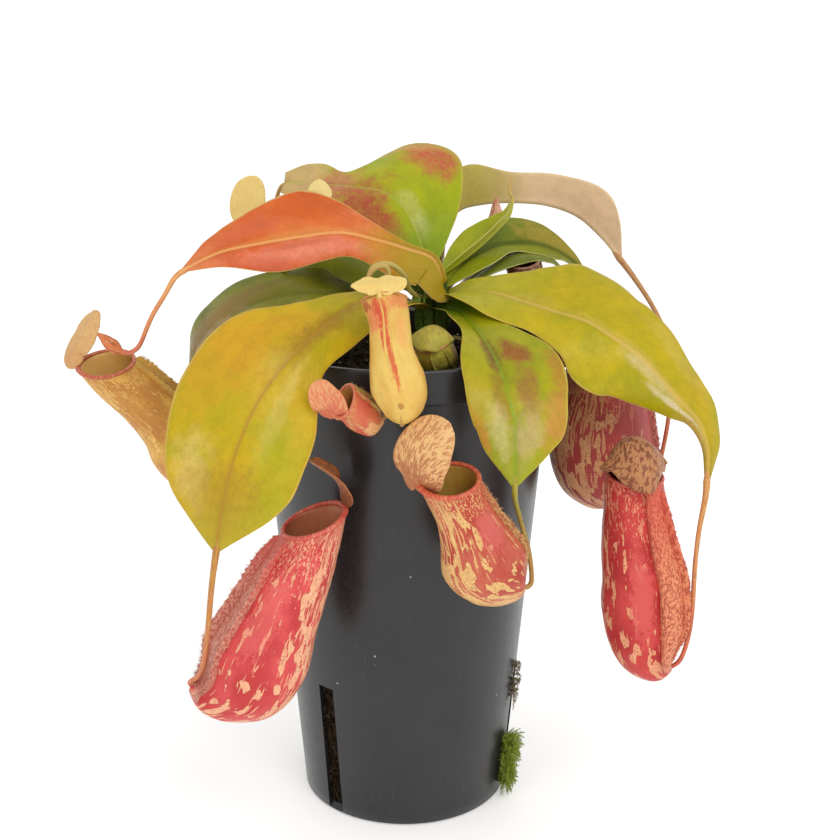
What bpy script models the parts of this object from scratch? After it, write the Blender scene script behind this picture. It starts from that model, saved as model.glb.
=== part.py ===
"""Potted pitcher plant: a nursery pot of soil and moss, and a rosette of leaves whose tips carry
tendrils and hanging pitchers with lids.  The tables are in millimetres.  The origin is the middle
of the pot's base, +Z is up and -Y is the front."""

import math

import bmesh
import bpy
import numpy as np
from mathutils import Matrix, Vector, noise

MM = 0.001
GAP = 0.3

# Pot
POT_HEIGHT = 213.5
POT_BASE_RADIUS = 46.2
POT_BODY_RADIUS = 63.4
COLLAR_RADIUS = 65.0
COLLAR_HEIGHT = 14.0
POT_WALL = 1.6
POT_FLOOR = 2.4
POT_STEPS = 40
RIM_WIDTH = 2.8
EDGE = 0.5
FLOOR_FILLET = 1.5
FOOT_BEVEL = 1.2
SLOT_WIDTH = 8.4
SLOT_HEIGHT = 64.0
SLOT_FOOT = 1.2
SLOT_ANGLES = (-42, 78, 198)
CUTTER_DEPTH = 14.0
CUTTER_REACH = 2.0
SOIL_TOP = 202.0
SOIL_GAP = 0.9
SOIL_STEPS = 24
SOIL_FLAT_RADIUS = 40.0
SOIL_SHOULDER_RADIUS = 56.0
SOIL_FALL = 4.0
SOIL_BEVEL = 2.0

# Stem: the crown stands a little right of the pot's middle
STEM_X = 12.0
STEM_Y = -2.0
STEM_TOP = 244.0
STEM_LOW_RADIUS = 6.0
STEM_TOP_RADIUS = 3.0

LEAF_THICKNESS = 1.0
LID_THICKNESS = 1.0
LID_GAP = 0.45
CUP_WALL = 1.1
TENDRIL_RADIUS = 1.1
TENDRIL_COLOUR = (0.5, 0.22, 0.1)

# Each leaf starts on the stem at a compass angle (0 = +X, 90 = +Y) and a height.  path is its
# midrib, face the way its upper side looks at even steps from base to tip.  Each half has its
# widths at even steps, how far it lifts (+) or droops (-) at the midrib in degrees, and how much
# further it bends on the way to its edge, both at base, middle and tip.
LEAVES = {
    "leaf_front_left": dict(
        angle=235, height=226, colour=(0.52, 0.46, 0.05),
        path=[(-4, -22, 233), (-20, -40, 235), (-32, -57, 230), (-43, -71, 222), (-55, -81, 208),
              (-63, -88, 192), (-68, -91, 176), (-71, -92, 162), (-73, -92, 149)],
        face=[(-0.1, -0.2, 1), (0.1, -0.7, 0.7), (-0.1, -0.95, 0.3), (-0.2, -1, 0)],
        left=([3, 9, 14, 14, 14, 25, 27, 23, 1.2], [20, -4, -4], [0, -20, -16]),
        right=([3, 7, 7, 14, 28, 32, 30, 23, 1.2], [20, 6, 4], [0, -22, -16])),
    "leaf_red_left": dict(
        angle=300, height=236, colour=(0.75, 0.18, 0.06),
        path=[(22, -15, 243), (17, -18, 251), (2, -21, 255), (-10, -24, 258), (-26, -28, 262),
              (-42, -32, 261), (-58, -36, 259), (-74, -40, 256), (-88, -44, 250)],
        face=[(0.5, -0.8, 0.2), (0.1, -0.8, 0.5), (0, -0.6, 0.8), (-0.1, -0.6, 0.8), (-0.3, -0.5, 0.8)],
        left=([2, 7, 9, 8, 12, 13.5, 8, 1.2], [10, 4, 0], [20, -60, -30]),
        right=([2, 2, 3, 9, 21, 18, 11, 1.2], [20, 14, 6], [10, 6, 0])),
    "leaf_dark_left": dict(
        angle=170, height=224, colour=(0.12, 0.2, 0.04),
        path=[(-12, 1, 228), (-32, 0, 231), (-52, -1, 230), (-68, -3, 225), (-78, -5, 218),
              (-88, -7, 207), (-93, -8, 193)],
        face=[(0, -0.2, 1), (-0.1, -0.3, 1), (-0.5, -0.4, 0.8), (-0.9, -0.3, 0.3)],
        left=([3, 8, 16, 20, 18, 10, 1.2], [10, 4, -10], [0, -20, -30]),
        right=([3, 12, 18, 18, 20, 20, 1.2], [10, 18, 10], [0, -20, -20])),
    "leaf_top": dict(
        angle=115, height=240, colour=(0.3, 0.38, 0.03),
        path=[(7, 10, 251), (3, 16, 260), (-2, 23, 266), (-9, 31, 270), (-20, 39, 271), (-34, 46, 271),
              (-45, 51, 271), (-53, 55, 272)],
        face=[(0.1, -1, 0.4), (0, -0.9, 0.5), (-0.2, -0.5, 0.9), (-0.5, -0.4, 0.7)],
        left=([2, 9, 15, 17, 15, 9, 8, 1.2], [10, 0, 70], [10, 0, 0]),
        right=([2, 14, 25, 31, 22, 12, 10, 1.2], [10, 4, 0], [0, -20, -10])),
    "leaf_back_right": dict(
        angle=65, height=228, colour=(0.5, 0.42, 0.22),
        path=[(20, 20, 244), (25, 40, 254), (34, 50, 264), (48, 57, 262), (65, 62, 260), (79, 64, 255),
              (90, 62, 246), (100, 58, 236)],
        face=[(-0.4, -0.3, 0.8), (-0.1, 0, 1), (0, 0, 1), (0.4, 0, 0.8), (0.8, 0, 0.4)],
        left=([1.5, 5, 12, 15, 12, 1.2], [0, 15, 20], [0, 0, -20]),
        right=([1.5, 5, 18, 14, 17, 1.6], [60, 80, 60], [0, 0, 0])),
    "leaf_right": dict(
        angle=340, height=230, colour=(0.5, 0.45, 0.03),
        path=[(25, -10, 234), (37, -18, 235), (48, -24, 233), (61, -30, 230), (76, -35, 226),
              (86, -38, 220), (95, -40, 214), (104, -42, 205), (114, -44, 194), (119, -45, 189),
              (124, -46, 178), (125, -47, 162)],
        face=[(0, 0, 1), (0.1, -0.4, 0.9), (0.3, -0.6, 0.75), (0.5, -0.8, 0.3), (0.5, -0.8, 0.1)],
        left=([3, 9, 28, 26, 19, 12, 1.2], [25, 10, 0], [10, -16, -20]),
        right=([3, 11, 15, 25, 17, 5, 1.2], [10, -15, -60], [0, -20, -40])),
    "leaf_front": dict(
        angle=290, height=226, colour=(0.26, 0.36, 0.04),
        path=[(23, -19, 227), (27, -30, 225), (32, -44, 221), (36, -55, 216), (39, -64, 210),
              (41, -70, 203), (43, -74, 195), (43, -77, 187), (43, -79, 171)],
        face=[(0.2, -0.2, 1), (0.1, -0.6, 0.8), (0, -0.9, 0.4), (0, -1, 0)],
        left=([3, 8, 12, 25, 25, 18, 1.2], [50, -2, -4], [10, -12, -10]),
        right=([3, 7, 8, 15, 17, 14, 1.2], [10, 25, 0], [0, -10, -10])),
    "leaf_channelled": dict(
        angle=35, height=234, colour=(0.25, 0.35, 0.03),
        path=[(26, 8, 243), (32, 12, 246), (39, 18, 248), (47, 24, 248), (56, 30, 247), (65, 34, 244),
              (75, 37, 238), (83, 38, 230)],
        face=[(-0.2, 0, 1), (-0.1, -0.2, 1), (0.2, -0.2, 0.9), (0.5, -0.1, 0.8)],
        left=([3, 7, 13, 13, 9, 1.2], [40, 50, 40], [0, -20, -30]),
        right=([3, 12, 11, 17, 8, 1.2], [-10, 10, 10], [0, -10, -20])),
    "leaf_youngest": dict(
        angle=20, height=240, colour=(0.36, 0.42, 0.05),
        path=[(26, 5, 246), (32, 9, 250), (37, 12, 254), (41, 13, 258), (45, 14, 263), (46, 14, 268)],
        face=[(-0.6, -0.4, 0.6), (-0.5, -0.5, 0.6), (-0.6, -0.4, 0.5)],
        left=([1.5, 8, 10, 6, 1.0], [40, 30, 40], [0, -10, 0]),
        right=([1.5, 5, 5, 4, 1.0], [50, 60, 60], [0, 0, 0])),
    "leaf_lower_right": dict(
        angle=15, height=222, colour=(0.3, 0.38, 0.1),
        path=[(28, 4, 230), (42, 10, 238), (54, 15, 240), (65, 18, 236), (73, 20, 228)],
        face=[(0, 0, 1), (0.1, 0.2, 1), (0.5, 0.2, 0.8), (0.8, 0.2, 0.4)],
        left=([3, 7, 9, 6, 1.2], [20, 0, 0], [0, -20, -20]),
        right=([3, 7, 9, 6, 1.2], [20, 10, 0], [0, -20, -20])),
    "leaf_inner_left": dict(
        angle=150, height=231, colour=(0.16, 0.24, 0.04),
        path=[(-8, 4, 240), (-20, 6, 246), (-32, 8, 249), (-42, 9, 246), (-50, 10, 240)],
        face=[(0, -0.2, 1), (0, -0.5, 0.9), (-0.3, -0.4, 0.8), (-0.7, -0.2, 0.6)],
        left=([3, 9, 12, 8, 1.2], [10, -10, -10], [0, -30, -30]),
        right=([3, 7, 9, 6, 1.2], [10, 0, 0], [0, -20, -20])),
}

# A pitcher's axis runs from its base to its mouth: x, y, z and radius.  plane gives the way its
# rings face at base, middle and mouth, front the side that its two wings are on.  A lid's path
# starts at the back of the mouth and its widths are those of its two equal halves.
PITCHERS = {
    "pitcher_front_left": dict(
        colour=(0.66, 0.08, 0.07), front=(-1, -0.35, 0), wing=4.0,
        axis=[(-83, -79, 78, 1.5), (-79, -78, 77, 8), (-72, -77, 79, 13), (-65, -77, 85, 18),
              (-59, -76, 97, 20.5), (-52, -75, 113, 17.5), (-45, -74, 129, 15), (-40, -73, 142, 13.5),
              (-36, -72, 154, 13.5)],
        plane=[(1, 0, 0), (0.75, 0, 0.65), (0.42, 0, 0.9), (0.35, 0, 0.93), (-0.3, -0.1, 0.95)],
        lid=dict(path=[(-25, -71, 170), (-36, -73, 180)], face=[(0.7, 0, 0.7), (0.7, 0, 0.7)],
                 width=[2.5, 8, 11, 9, 1.5], colour=(0.6, 0.25, 0.1))),
    "pitcher_left": dict(
        colour=(0.62, 0.38, 0.08), front=(1, 0.1, 0.3), wing=3.5,
        axis=[(-88, -6, 148, 1.5), (-90, -8, 152, 8), (-94, -11, 159, 12.5), (-98, -14, 169, 14.5),
              (-104, -17, 179, 13.5), (-112, -20, 189, 12), (-119, -22, 198, 11.5),
              (-125, -24, 206, 12)],
        plane=[(-0.6, -0.2, 0.7), (-0.55, -0.2, 0.8), (-0.6, -0.2, 0.75), (-0.6, -0.15, 0.8),
               (-0.1, -0.25, 0.97)],
        lid=dict(path=[(-137, -22, 215), (-129, -21, 227)], face=[(0.5, 0.5, -0.3), (0.4, 0.5, -0.4)],
                 width=[2, 6, 7, 6, 2], colour=(0.72, 0.5, 0.2))),
    "pitcher_right": dict(
        colour=(0.62, 0.07, 0.07), front=(0.57, -0.82, 0), wing=3.0,
        axis=[(113, -54, 81, 1.5), (110, -53, 82, 8), (106, -52, 86, 13), (103, -51, 94, 16.5),
              (101, -50, 107, 18), (100, -50, 122, 17.5), (97, -50, 137, 15.5), (95, -50, 153, 13),
              (94, -50, 166, 12)],
        plane=[(-1, 0, 0.1), (-0.6, 0.1, 0.8), (-0.1, 0, 1), (-0.15, 0, 1), (0.1, -0.15, 1)],
        lid=dict(path=[(95, -48, 177), (106, -60, 171)], face=[(0, -0.4, 0.9), (0.2, -0.3, 0.9)],
                 width=[2, 10, 13, 10, 2], colour=(0.5, 0.24, 0.1))),
    "pitcher_front": dict(
        colour=(0.66, 0.16, 0.09), front=(0.95, 0.2, 0), wing=2.5,
        axis=[(48, -79, 128, 1.5), (46, -79, 129, 6), (42, -80, 132, 11), (38, -81, 136, 15),
              (33, -82, 143, 17.5), (27, -83, 153, 14.5), (23, -84, 163, 11.5), (19, -84, 170, 11),
              (17, -84, 175, 12)],
        plane=[(-1, 0, 0.1), (-0.8, 0, 0.6), (-0.5, -0.1, 0.86), (-0.45, -0.1, 0.88),
               (-0.1, -0.27, 0.96)],
        lid=dict(path=[(7, -91, 189), (18, -91, 200)], face=[(-0.5, -0.8, 0.4), (-0.5, -0.8, 0.4)],
                 width=[3, 10, 11, 9, 2], colour=(0.75, 0.5, 0.28))),
    "pitcher_pale": dict(
        colour=(0.72, 0.58, 0.2), front=(0.1, 1, 0.1), wing=1.0,
        axis=[(-1, -78, 197, 1), (-1, -80, 200, 5), (-1, -81, 204, 8.5), (-2, -83, 210, 10.5),
              (-3, -82, 216, 10.5), (-5, -77, 225, 8.5), (-6, -71, 235, 8), (-8, -65, 242, 9)],
        plane=[(0, -0.5, 0.85), (0, -0.2, 1), (-0.1, 0.2, 1), (-0.15, 0.5, 0.85), (-0.1, 0.45, 0.85)],
        lid=dict(path=[(-10, -72, 249), (-11, -62, 251)], face=[(0, -0.6, 0.8), (0, -0.2, 1)],
                 width=[3, 11, 11, 8, 2], colour=(0.8, 0.7, 0.3))),
    "pitcher_small_pink": dict(
        colour=(0.62, 0.25, 0.14), front=(0.2, -0.1, 1), wing=1.5,
        axis=[(-8, -75, 197, 1.2), (-11, -75, 195, 4.5), (-14, -75, 197, 6.5), (-18, -76, 200, 7),
              (-21, -77, 203, 6.5), (-23, -77, 205, 7)],
        plane=[(-1, 0, 0), (-0.85, -0.1, 0.5), (-0.8, -0.2, 0.5), (-0.8, -0.4, 0.4)],
        lid=dict(path=[(-31, -84, 206), (-32, -86, 215)], face=[(-0.6, -0.7, 0.2), (-0.6, -0.7, 0.2)],
                 width=[2, 6, 7, 6, 2], colour=(0.7, 0.4, 0.2))),
    "pitcher_rim": dict(
        colour=(0.45, 0.45, 0.1), front=(0.2, -1, 0), wing=0.8,
        axis=[(20, -36, 207, 1.4), (17, -38, 208, 5), (14, -40, 211, 8), (12, -42, 216, 8.4),
              (11, -44, 220, 7)],
        plane=[(-0.6, 0, 0.6), (-0.3, -0.1, 0.9), (-0.2, -0.3, 0.9)],
        lid=dict(path=[(9, -43, 229), (8, -52, 226)], face=[(0, -0.3, 1), (0, -0.7, 0.8)],
                 width=[2, 7, 8, 6, 2], colour=(0.5, 0.45, 0.12))),
    "pitcher_right_rear": dict(
        colour=(0.36, 0.07, 0.09), front=(1, 0.3, 0), wing=3.0,
        axis=[(96, 8, 136, 1.5), (93, 8, 138, 12), (89, 8, 144, 19), (88, 8, 156, 23),
              (87, 9, 171, 22.5), (88, 10, 184, 19.5), (89, 10, 197, 16)],
        plane=[(-1, 0, 0.2), (-0.3, 0, 0.95), (0, 0, 1), (0.1, 0, 1), (0.2, -0.2, 1)],
        lid=dict(path=[(76, 10, 206), (92, 8, 209)], face=[(-0.2, -0.3, 1), (0.2, -0.3, 1)],
                 width=[3, 12, 13, 10, 2], colour=(0.5, 0.2, 0.14))),
    "pitcher_back_left": dict(
        colour=(0.62, 0.5, 0.16), front=(0.6, 0.6, 0), wing=1.0,
        axis=[(-45, 52, 221, 1.6), (-48, 50, 222, 6), (-52, 47, 227, 8.4), (-57, 44, 237, 8),
              (-62, 41, 247, 6.6), (-66, 39, 257, 7)],
        plane=[(-0.7, 0, 0.4), (-0.5, -0.2, 0.8), (-0.3, -0.2, 0.9)],
        lid=dict(path=[(-73, 40, 267), (-69, 43, 276)], face=[(-0.6, -0.7, 0.3), (-0.5, -0.7, 0.4)],
                 width=[2, 7, 8, 6, 2], colour=(0.8, 0.7, 0.3))),
    "pitcher_inner_left": dict(
        colour=(0.62, 0.5, 0.16), front=(0.2, 1, 0), wing=0.8,
        axis=[(-40, 28, 240, 1.4), (-40, 28, 243, 5), (-39, 28, 249, 6.6), (-38, 28, 256, 6),
              (-37, 27, 264, 6)],
        plane=[(0, 0.2, 0.9), (0, 0.1, 1), (0, 0.1, 1)],
        lid=dict(path=[(-37, 17, 272), (-37, 21, 277)], face=[(0, -0.7, 0.7), (0, -0.2, 1)],
                 width=[2, 5, 5, 4, 1], colour=(0.8, 0.7, 0.3))),
    "pitcher_brown": dict(
        colour=(0.3, 0.16, 0.08), front=(1, -0.3, 0), wing=0.8,
        axis=[(61, 16, 219, 1.4), (58, 16, 219, 4.5), (55, 16, 221, 6.2), (53, 15, 226, 6),
              (51, 14, 231, 6.5)],
        plane=[(-0.7, 0, 0.5), (-0.2, 0, 1), (-0.1, -0.3, 0.9)], lid=None),
}

# A tendril runs from a leaf's tip, or from the stem at a compass angle and height, through its
# points to a pitcher's base or to its own free end.
TENDRILS = {
    "tendril_front_left": dict(leaf="leaf_front_left", pitcher="pitcher_front_left",
                               path=[(-76, -91, 132), (-79, -89, 112), (-82, -87, 95), (-85, -84, 83),
                                     (-86, -81, 78)]),
    "tendril_red_left": dict(leaf="leaf_red_left", bud="withered_bud",
                             path=[(-95, -46, 241), (-101, -47, 232), (-105, -47, 223),
                                   (-108, -45, 217), (-113, -42, 215)]),
    "tendril_dark_left": dict(leaf="leaf_dark_left", pitcher="pitcher_left",
                              path=[(-82, -7, 176), (-78, -6, 160), (-79, -4, 148), (-84, -5, 144)]),
    "tendril_top": dict(leaf="leaf_top", pitcher="pitcher_back_left",
                        path=[(-57, 58, 268), (-60, 58, 262), (-58, 62, 248), (-50, 63, 230),
                              (-43, 60, 221)]),
    "tendril_back_right": dict(leaf="leaf_back_right", pitcher="pitcher_right_rear",
                               path=[(105, 52, 229), (113, 44, 218), (119, 34, 206), (121, 24, 186),
                                     (118, 15, 162), (113, 11, 142), (106, 9, 130), (99, 8, 131)]),
    "tendril_right": dict(leaf="leaf_right", pitcher="pitcher_right",
                          path=[(122, -53, 147), (119, -62, 128), (116, -68, 110), (116, -68, 95),
                                (117, -62, 84)]),
    "tendril_front": dict(leaf="leaf_front", pitcher="pitcher_front",
                          path=[(43, -73, 164), (45, -66, 156), (47, -62, 147), (49, -62, 137),
                                (51, -67, 130)]),
    "tendril_youngest": dict(leaf="leaf_youngest", path=[(45, 13, 272), (46, 13, 279)]),
    "tendril_channelled": dict(leaf="leaf_channelled",
                               path=[(87, 37, 222), (87, 38, 208), (80, 38, 198)]),
    "tendril_pale": dict(stem=(245, 231), pitcher="pitcher_pale",
                         path=[(2, -26, 238), (-1, -40, 248), (-7, -46, 253), (-13, -49, 252),
                               (-14, -51, 247), (-10, -52, 246), (-6, -52, 250), (-8, -54, 254),
                               (-13, -55, 252), (-14, -52, 244), (-10, -52, 234), (-4, -57, 224),
                               (0, -67.4, 213), (0, -70, 203), (-1, -74, 196)]),
    "tendril_small_pink": dict(stem=(228, 213), pitcher="pitcher_small_pink",
                               path=[(-4, -24, 220), (-8, -48, 222), (-9, -67.5, 214), (-7, -70, 204),
                                     (-5, -73, 198)]),
    "tendril_rim": dict(stem=(285, 212), pitcher="pitcher_rim",
                        path=[(20, -18, 216), (26, -28, 216), (25, -34, 210)]),
    "tendril_inner_left": dict(leaf="leaf_inner_left", pitcher="pitcher_inner_left",
                               path=[(-54, 15, 240), (-53, 23, 239), (-47, 27, 236)]),
    "tendril_brown": dict(leaf="leaf_lower_right", pitcher="pitcher_brown",
                          path=[(77, 21, 222), (74, 20, 218), (68, 18, 217)]),
    "tendril_dried": dict(stem=(80, 224), bud="dried_bud", path=[(22, 22, 232), (33, 32, 239)]),
}

# Buds are spindles on the end of a tendril: x, y, z and radius.
BUDS = {
    "withered_bud": dict(colour=(0.65, 0.2, 0.08),
                         axis=[(-115, -41, 215.5, 1.2), (-117, -41, 217, 2.4), (-120, -41, 219.5, 2.6),
                               (-124, -41, 223, 0.9)]),
    "dried_bud": dict(colour=(0.45, 0.2, 0.14),
                      axis=[(38, 36, 245, 1.2), (40, 37, 250, 3.6), (41, 38, 256, 4.0),
                            (41, 39, 262, 2.2), (41, 39, 266, 0.8)]),
}

# Moss is a lumpy ball: its centre, its half sizes and how deep its lumps are.
MOSS = {
    "moss_tuft": dict(
        colour=(0.15, 0.26, 0.03), centre=(46, -17, 17), size=(8.5, 8, 14.2), lumps=0.5, seed=3),
    "moss_strip": dict(
        colour=(0.2, 0.16, 0.06), centre=(48.5, -15, 56), size=(3.4, 4, 11), lumps=0.4, seed=8),
}

LEAF_ROWS = 13
LEAF_COLUMNS = 3
LID_ROWS = 7
CUP_ROWS = 9
CUP_ANGLES = (0, 12, 21, 30, 60, 95, 135, 180, 225, 265, 300, 330, 339, 348)
WING_ANGLE = 21
WING_PLACES = (0, 0.3, 0.55, 0.9, 1)
WING_SHARES = (0, 0.25, 1, 1, 0.3)
TENDRIL_POINTS = 9
TENDRIL_LEAD = 2.5
BUD_RINGS = 8
COIL_POINTS = 30
LUMP_FINENESS = 2.2
WALL_OVERRUN = 5.0
WALL_TOP = 80.0


def clear_scene():
    for obj in list(bpy.data.objects):
        bpy.data.objects.remove(obj, do_unlink=True)


def make_collection(name):
    collection = bpy.data.collections.new(name)
    bpy.context.scene.collection.children.link(collection)
    return collection


def make_material(name, colour, roughness):
    material = bpy.data.materials.new(name)
    material.use_nodes = True
    shader = material.node_tree.nodes["Principled BSDF"]
    shader.inputs["Base Color"].default_value = (*colour, 1.0)
    shader.inputs["Roughness"].default_value = roughness
    shader.inputs["Metallic"].default_value = 0.0
    return material


def unit(vectors):
    vectors = np.asarray(vectors, float)
    return vectors / np.linalg.norm(vectors, axis=-1, keepdims=True)


def hermite(values, knots, at):
    """A smooth curve through values at knots, read at the places `at`."""
    slopes = np.gradient(values, knots, axis=0)
    steps = np.diff(knots)
    i = np.clip(np.searchsorted(knots, at, side="right") - 1, 0, len(steps) - 1)
    u = ((at - knots[i]) / steps[i])[:, None]
    h = steps[i][:, None]
    return (values[i] * (2 * u**3 - 3 * u**2 + 1) + slopes[i] * h * (u**3 - 2 * u**2 + u)
            + values[i + 1] * (3 * u**2 - 2 * u**3) + slopes[i + 1] * h * (u**3 - u**2))


def smooth_path(points, count):
    """Points at even steps along a smooth curve."""
    points = np.array(points, float)
    lengths = np.linalg.norm(np.diff(points[:, :3], axis=0), axis=1)
    knots = np.concatenate([[0.0], np.cumsum(lengths)])
    return hermite(points, knots, np.linspace(0, knots[-1], count))


def along(values, count):
    """Values given at even steps, read smoothly at `count` even steps."""
    values = np.array(values, float)
    values = values.reshape(len(values), -1)
    return hermite(values, np.linspace(0, 1, len(values)), np.linspace(0, 1, count))


def stem_radius(height):
    share = (height - SOIL_TOP) / (STEM_TOP - SOIL_TOP)
    return STEM_LOW_RADIUS + share * (STEM_TOP_RADIUS - STEM_LOW_RADIUS)


def stem_seat(angle, height):
    """The point just clear of the stem at a compass angle and a height."""
    reach = stem_radius(height) + 2 * GAP
    turn = math.radians(angle)
    return np.array([STEM_X + reach * math.cos(turn), STEM_Y + reach * math.sin(turn), height])


def blade_grid(path, face, left, right, rows, columns):
    """Rows of points across a leaf or a lid, from its left edge over the midrib to its right."""
    centre = smooth_path(path, rows)
    tangent = unit(np.gradient(centre, axis=0))
    across = unit(np.cross(tangent, along(face, rows)))
    upward = np.cross(across, tangent)
    steps = np.linspace(0, 1, columns + 1)[1:]
    halves = []
    for sign, (width, lift, bend) in ((-1, left), (1, right)):
        width = along(width, rows)
        lift = np.radians(along(lift, rows))
        bend = np.radians(along(bend, rows))
        bend = np.where(np.abs(bend) < 0.01, 0.01, bend)
        out = width * (np.sin(lift + bend * steps) - np.sin(lift)) / bend
        rise = width * (np.cos(lift) - np.cos(lift + bend * steps)) / bend
        sideways = sign * out[..., None] * across[:, None]
        halves.append(centre[:, None] + sideways + rise[..., None] * upward[:, None])
    return np.concatenate([halves[0][:, ::-1], centre[:, None], halves[1]], axis=1)


def cup_rings(pitcher, rows):
    """Rings of points around a pitcher from its base to its mouth."""
    axis = along(pitcher["axis"], rows)
    centre = axis[:, :3]
    normal = unit(along(pitcher["plane"], rows))
    front = np.array(pitcher["front"], float)
    front = unit(front - (normal @ front)[:, None] * normal)
    side = np.cross(normal, front)
    angles = np.radians(CUP_ANGLES)
    swell = np.interp(np.linspace(0, 1, rows), WING_PLACES, WING_SHARES)
    wings = np.array([1.0 if min(a, 360 - a) == WING_ANGLE else 0.0 for a in CUP_ANGLES])
    radius = axis[:, 3:] + pitcher["wing"] * swell[:, None] * wings
    return (centre[:, None] + (radius * np.cos(angles))[..., None] * front[:, None]
            + (radius * np.sin(angles))[..., None] * side[:, None])


def mesh_from_grid(name, grid, wrap, cap_start):
    """A surface of quads over rows of points; wrap joins each row's ends."""
    rows, columns = grid.shape[:2]
    mesh = bmesh.new()
    verts = [[mesh.verts.new(point * MM) for point in row] for row in grid]
    for row, following in zip(verts, verts[1:]):
        for j in range(columns if wrap else columns - 1):
            k = (j + 1) % columns
            mesh.faces.new((row[j], row[k], following[k], following[j]))
    if cap_start:
        mesh.faces.new(list(reversed(verts[0])))
    data = bpy.data.meshes.new(name)
    mesh.to_mesh(data)
    mesh.free()
    data.shade_smooth()
    return data


def add_object(name, data, material, collection):
    obj = bpy.data.objects.new(name, data)
    data.materials.append(material)
    collection.objects.link(obj)
    return obj


def add_shell(obj, thickness, offset):
    shell = obj.modifiers.new("Shell", "SOLIDIFY")
    shell.thickness = thickness * MM
    shell.offset = offset
    shell.use_even_offset = False


def add_leaf(name, leaf, collection):
    path = [stem_seat(leaf["angle"], leaf["height"]), *leaf["path"]]
    grid = blade_grid(path, leaf["face"], leaf["left"], leaf["right"], LEAF_ROWS, LEAF_COLUMNS)
    data = mesh_from_grid(name, grid, wrap=False, cap_start=False)
    obj = add_object(name, data, make_material(name, leaf["colour"], 0.35), collection)
    add_shell(obj, LEAF_THICKNESS, 0)


def add_pitcher(name, pitcher, collection):
    rings = cup_rings(pitcher, CUP_ROWS)
    data = mesh_from_grid(name, rings, wrap=True, cap_start=True)
    obj = add_object(name, data, make_material(name, pitcher["colour"], 0.4), collection)
    add_shell(obj, CUP_WALL, -1)
    if pitcher["lid"]:
        add_lid(name.replace("pitcher", "lid"), pitcher, rings, collection)


def add_lid(name, pitcher, rings, collection):
    lid = pitcher["lid"]
    hinge = rings[-1][CUP_ANGLES.index(180)]
    upward = unit(pitcher["plane"][-1])
    start = hinge + (LID_THICKNESS / 2 + LID_GAP) * upward
    half = (lid["width"], [0, 0, 0], [-12, -12, -12])
    grid = blade_grid([start, *lid["path"]], lid["face"], half, half, LID_ROWS, LEAF_COLUMNS)
    data = mesh_from_grid(name, grid, wrap=False, cap_start=False)
    obj = add_object(name, data, make_material(name, lid["colour"], 0.5), collection)
    add_shell(obj, LID_THICKNESS, 0)


def add_tube(name, points, radii, material, collection):
    curve = bpy.data.curves.new(name, "CURVE")
    curve.dimensions = "3D"
    curve.bevel_depth = MM
    curve.bevel_resolution = 2
    curve.use_fill_caps = True
    spline = curve.splines.new("POLY")
    spline.points.add(len(points) - 1)
    for vertex, point, radius in zip(spline.points, points, radii):
        vertex.co = (*(point * MM), 1)
        vertex.radius = radius
    spline.use_smooth = True
    return add_object(name, curve, material, collection)


def tendril_start(tendril):
    """A seat and a point straight out from it, at the stem or at the leaf's tip."""
    if "stem" in tendril:
        return [stem_seat(*tendril["stem"])]
    leaf = LEAVES[tendril["leaf"]]
    path = smooth_path([stem_seat(leaf["angle"], leaf["height"]), *leaf["path"]], LEAF_ROWS)
    heading = unit(path[-1] - path[-2])
    return [path[-1] + GAP * heading, path[-1] + TENDRIL_LEAD * heading]


def tendril_end(tendril):
    """A point straight out from the seat at the pitcher's or bud's base, and the seat."""
    if "pitcher" in tendril:
        pitcher = PITCHERS[tendril["pitcher"]]
        base = np.array(pitcher["axis"][0][:3], float)
        heading = unit(pitcher["plane"][0])
    elif "bud" in tendril:
        base, following = along(BUDS[tendril["bud"]]["axis"], BUD_RINGS)[:2, :3]
        heading = unit(following - base)
    else:
        return []
    return [base - TENDRIL_LEAD * heading, base - GAP * heading]


def add_tendril(name, tendril, collection):
    start = tendril_start(tendril)
    end = tendril_end(tendril)
    count = COIL_POINTS if len(tendril["path"]) > TENDRIL_POINTS else TENDRIL_POINTS
    middle = smooth_path([*start[1:], *tendril["path"], *end[:1]], count)
    path = [*start[:1], *middle, *end[1:]]
    material = make_material(name, TENDRIL_COLOUR, 0.45)
    add_tube(name, path, [TENDRIL_RADIUS] * len(path), material, collection)


def add_bud(name, bud, collection):
    axis = along(bud["axis"], BUD_RINGS)
    add_tube(name, axis[:, :3], axis[:, 3], make_material(name, bud["colour"], 0.7), collection)


def turned(name, profile, steps, material, collection):
    """A profile of (radius, height) turned around the pot's axis."""
    mesh = bmesh.new()
    verts = [mesh.verts.new((radius * MM, 0, height * MM)) for radius, height in profile]
    for a, b in zip(verts, verts[1:]):
        mesh.edges.new((a, b))
    data = bpy.data.meshes.new(name)
    mesh.to_mesh(data)
    mesh.free()
    obj = add_object(name, data, material, collection)
    screw = obj.modifiers.new("Turn", "SCREW")
    screw.angle = math.tau
    screw.steps = steps
    screw.render_steps = steps
    screw.use_merge_vertices = True
    screw.merge_threshold = 0.0001
    screw.use_smooth_shade = True
    return obj


def pot_radius(height):
    """The outer radius of the tapered wall below the collar."""
    share = height / (POT_HEIGHT - COLLAR_HEIGHT)
    return POT_BASE_RADIUS + share * (POT_BODY_RADIUS - POT_BASE_RADIUS)


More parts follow.
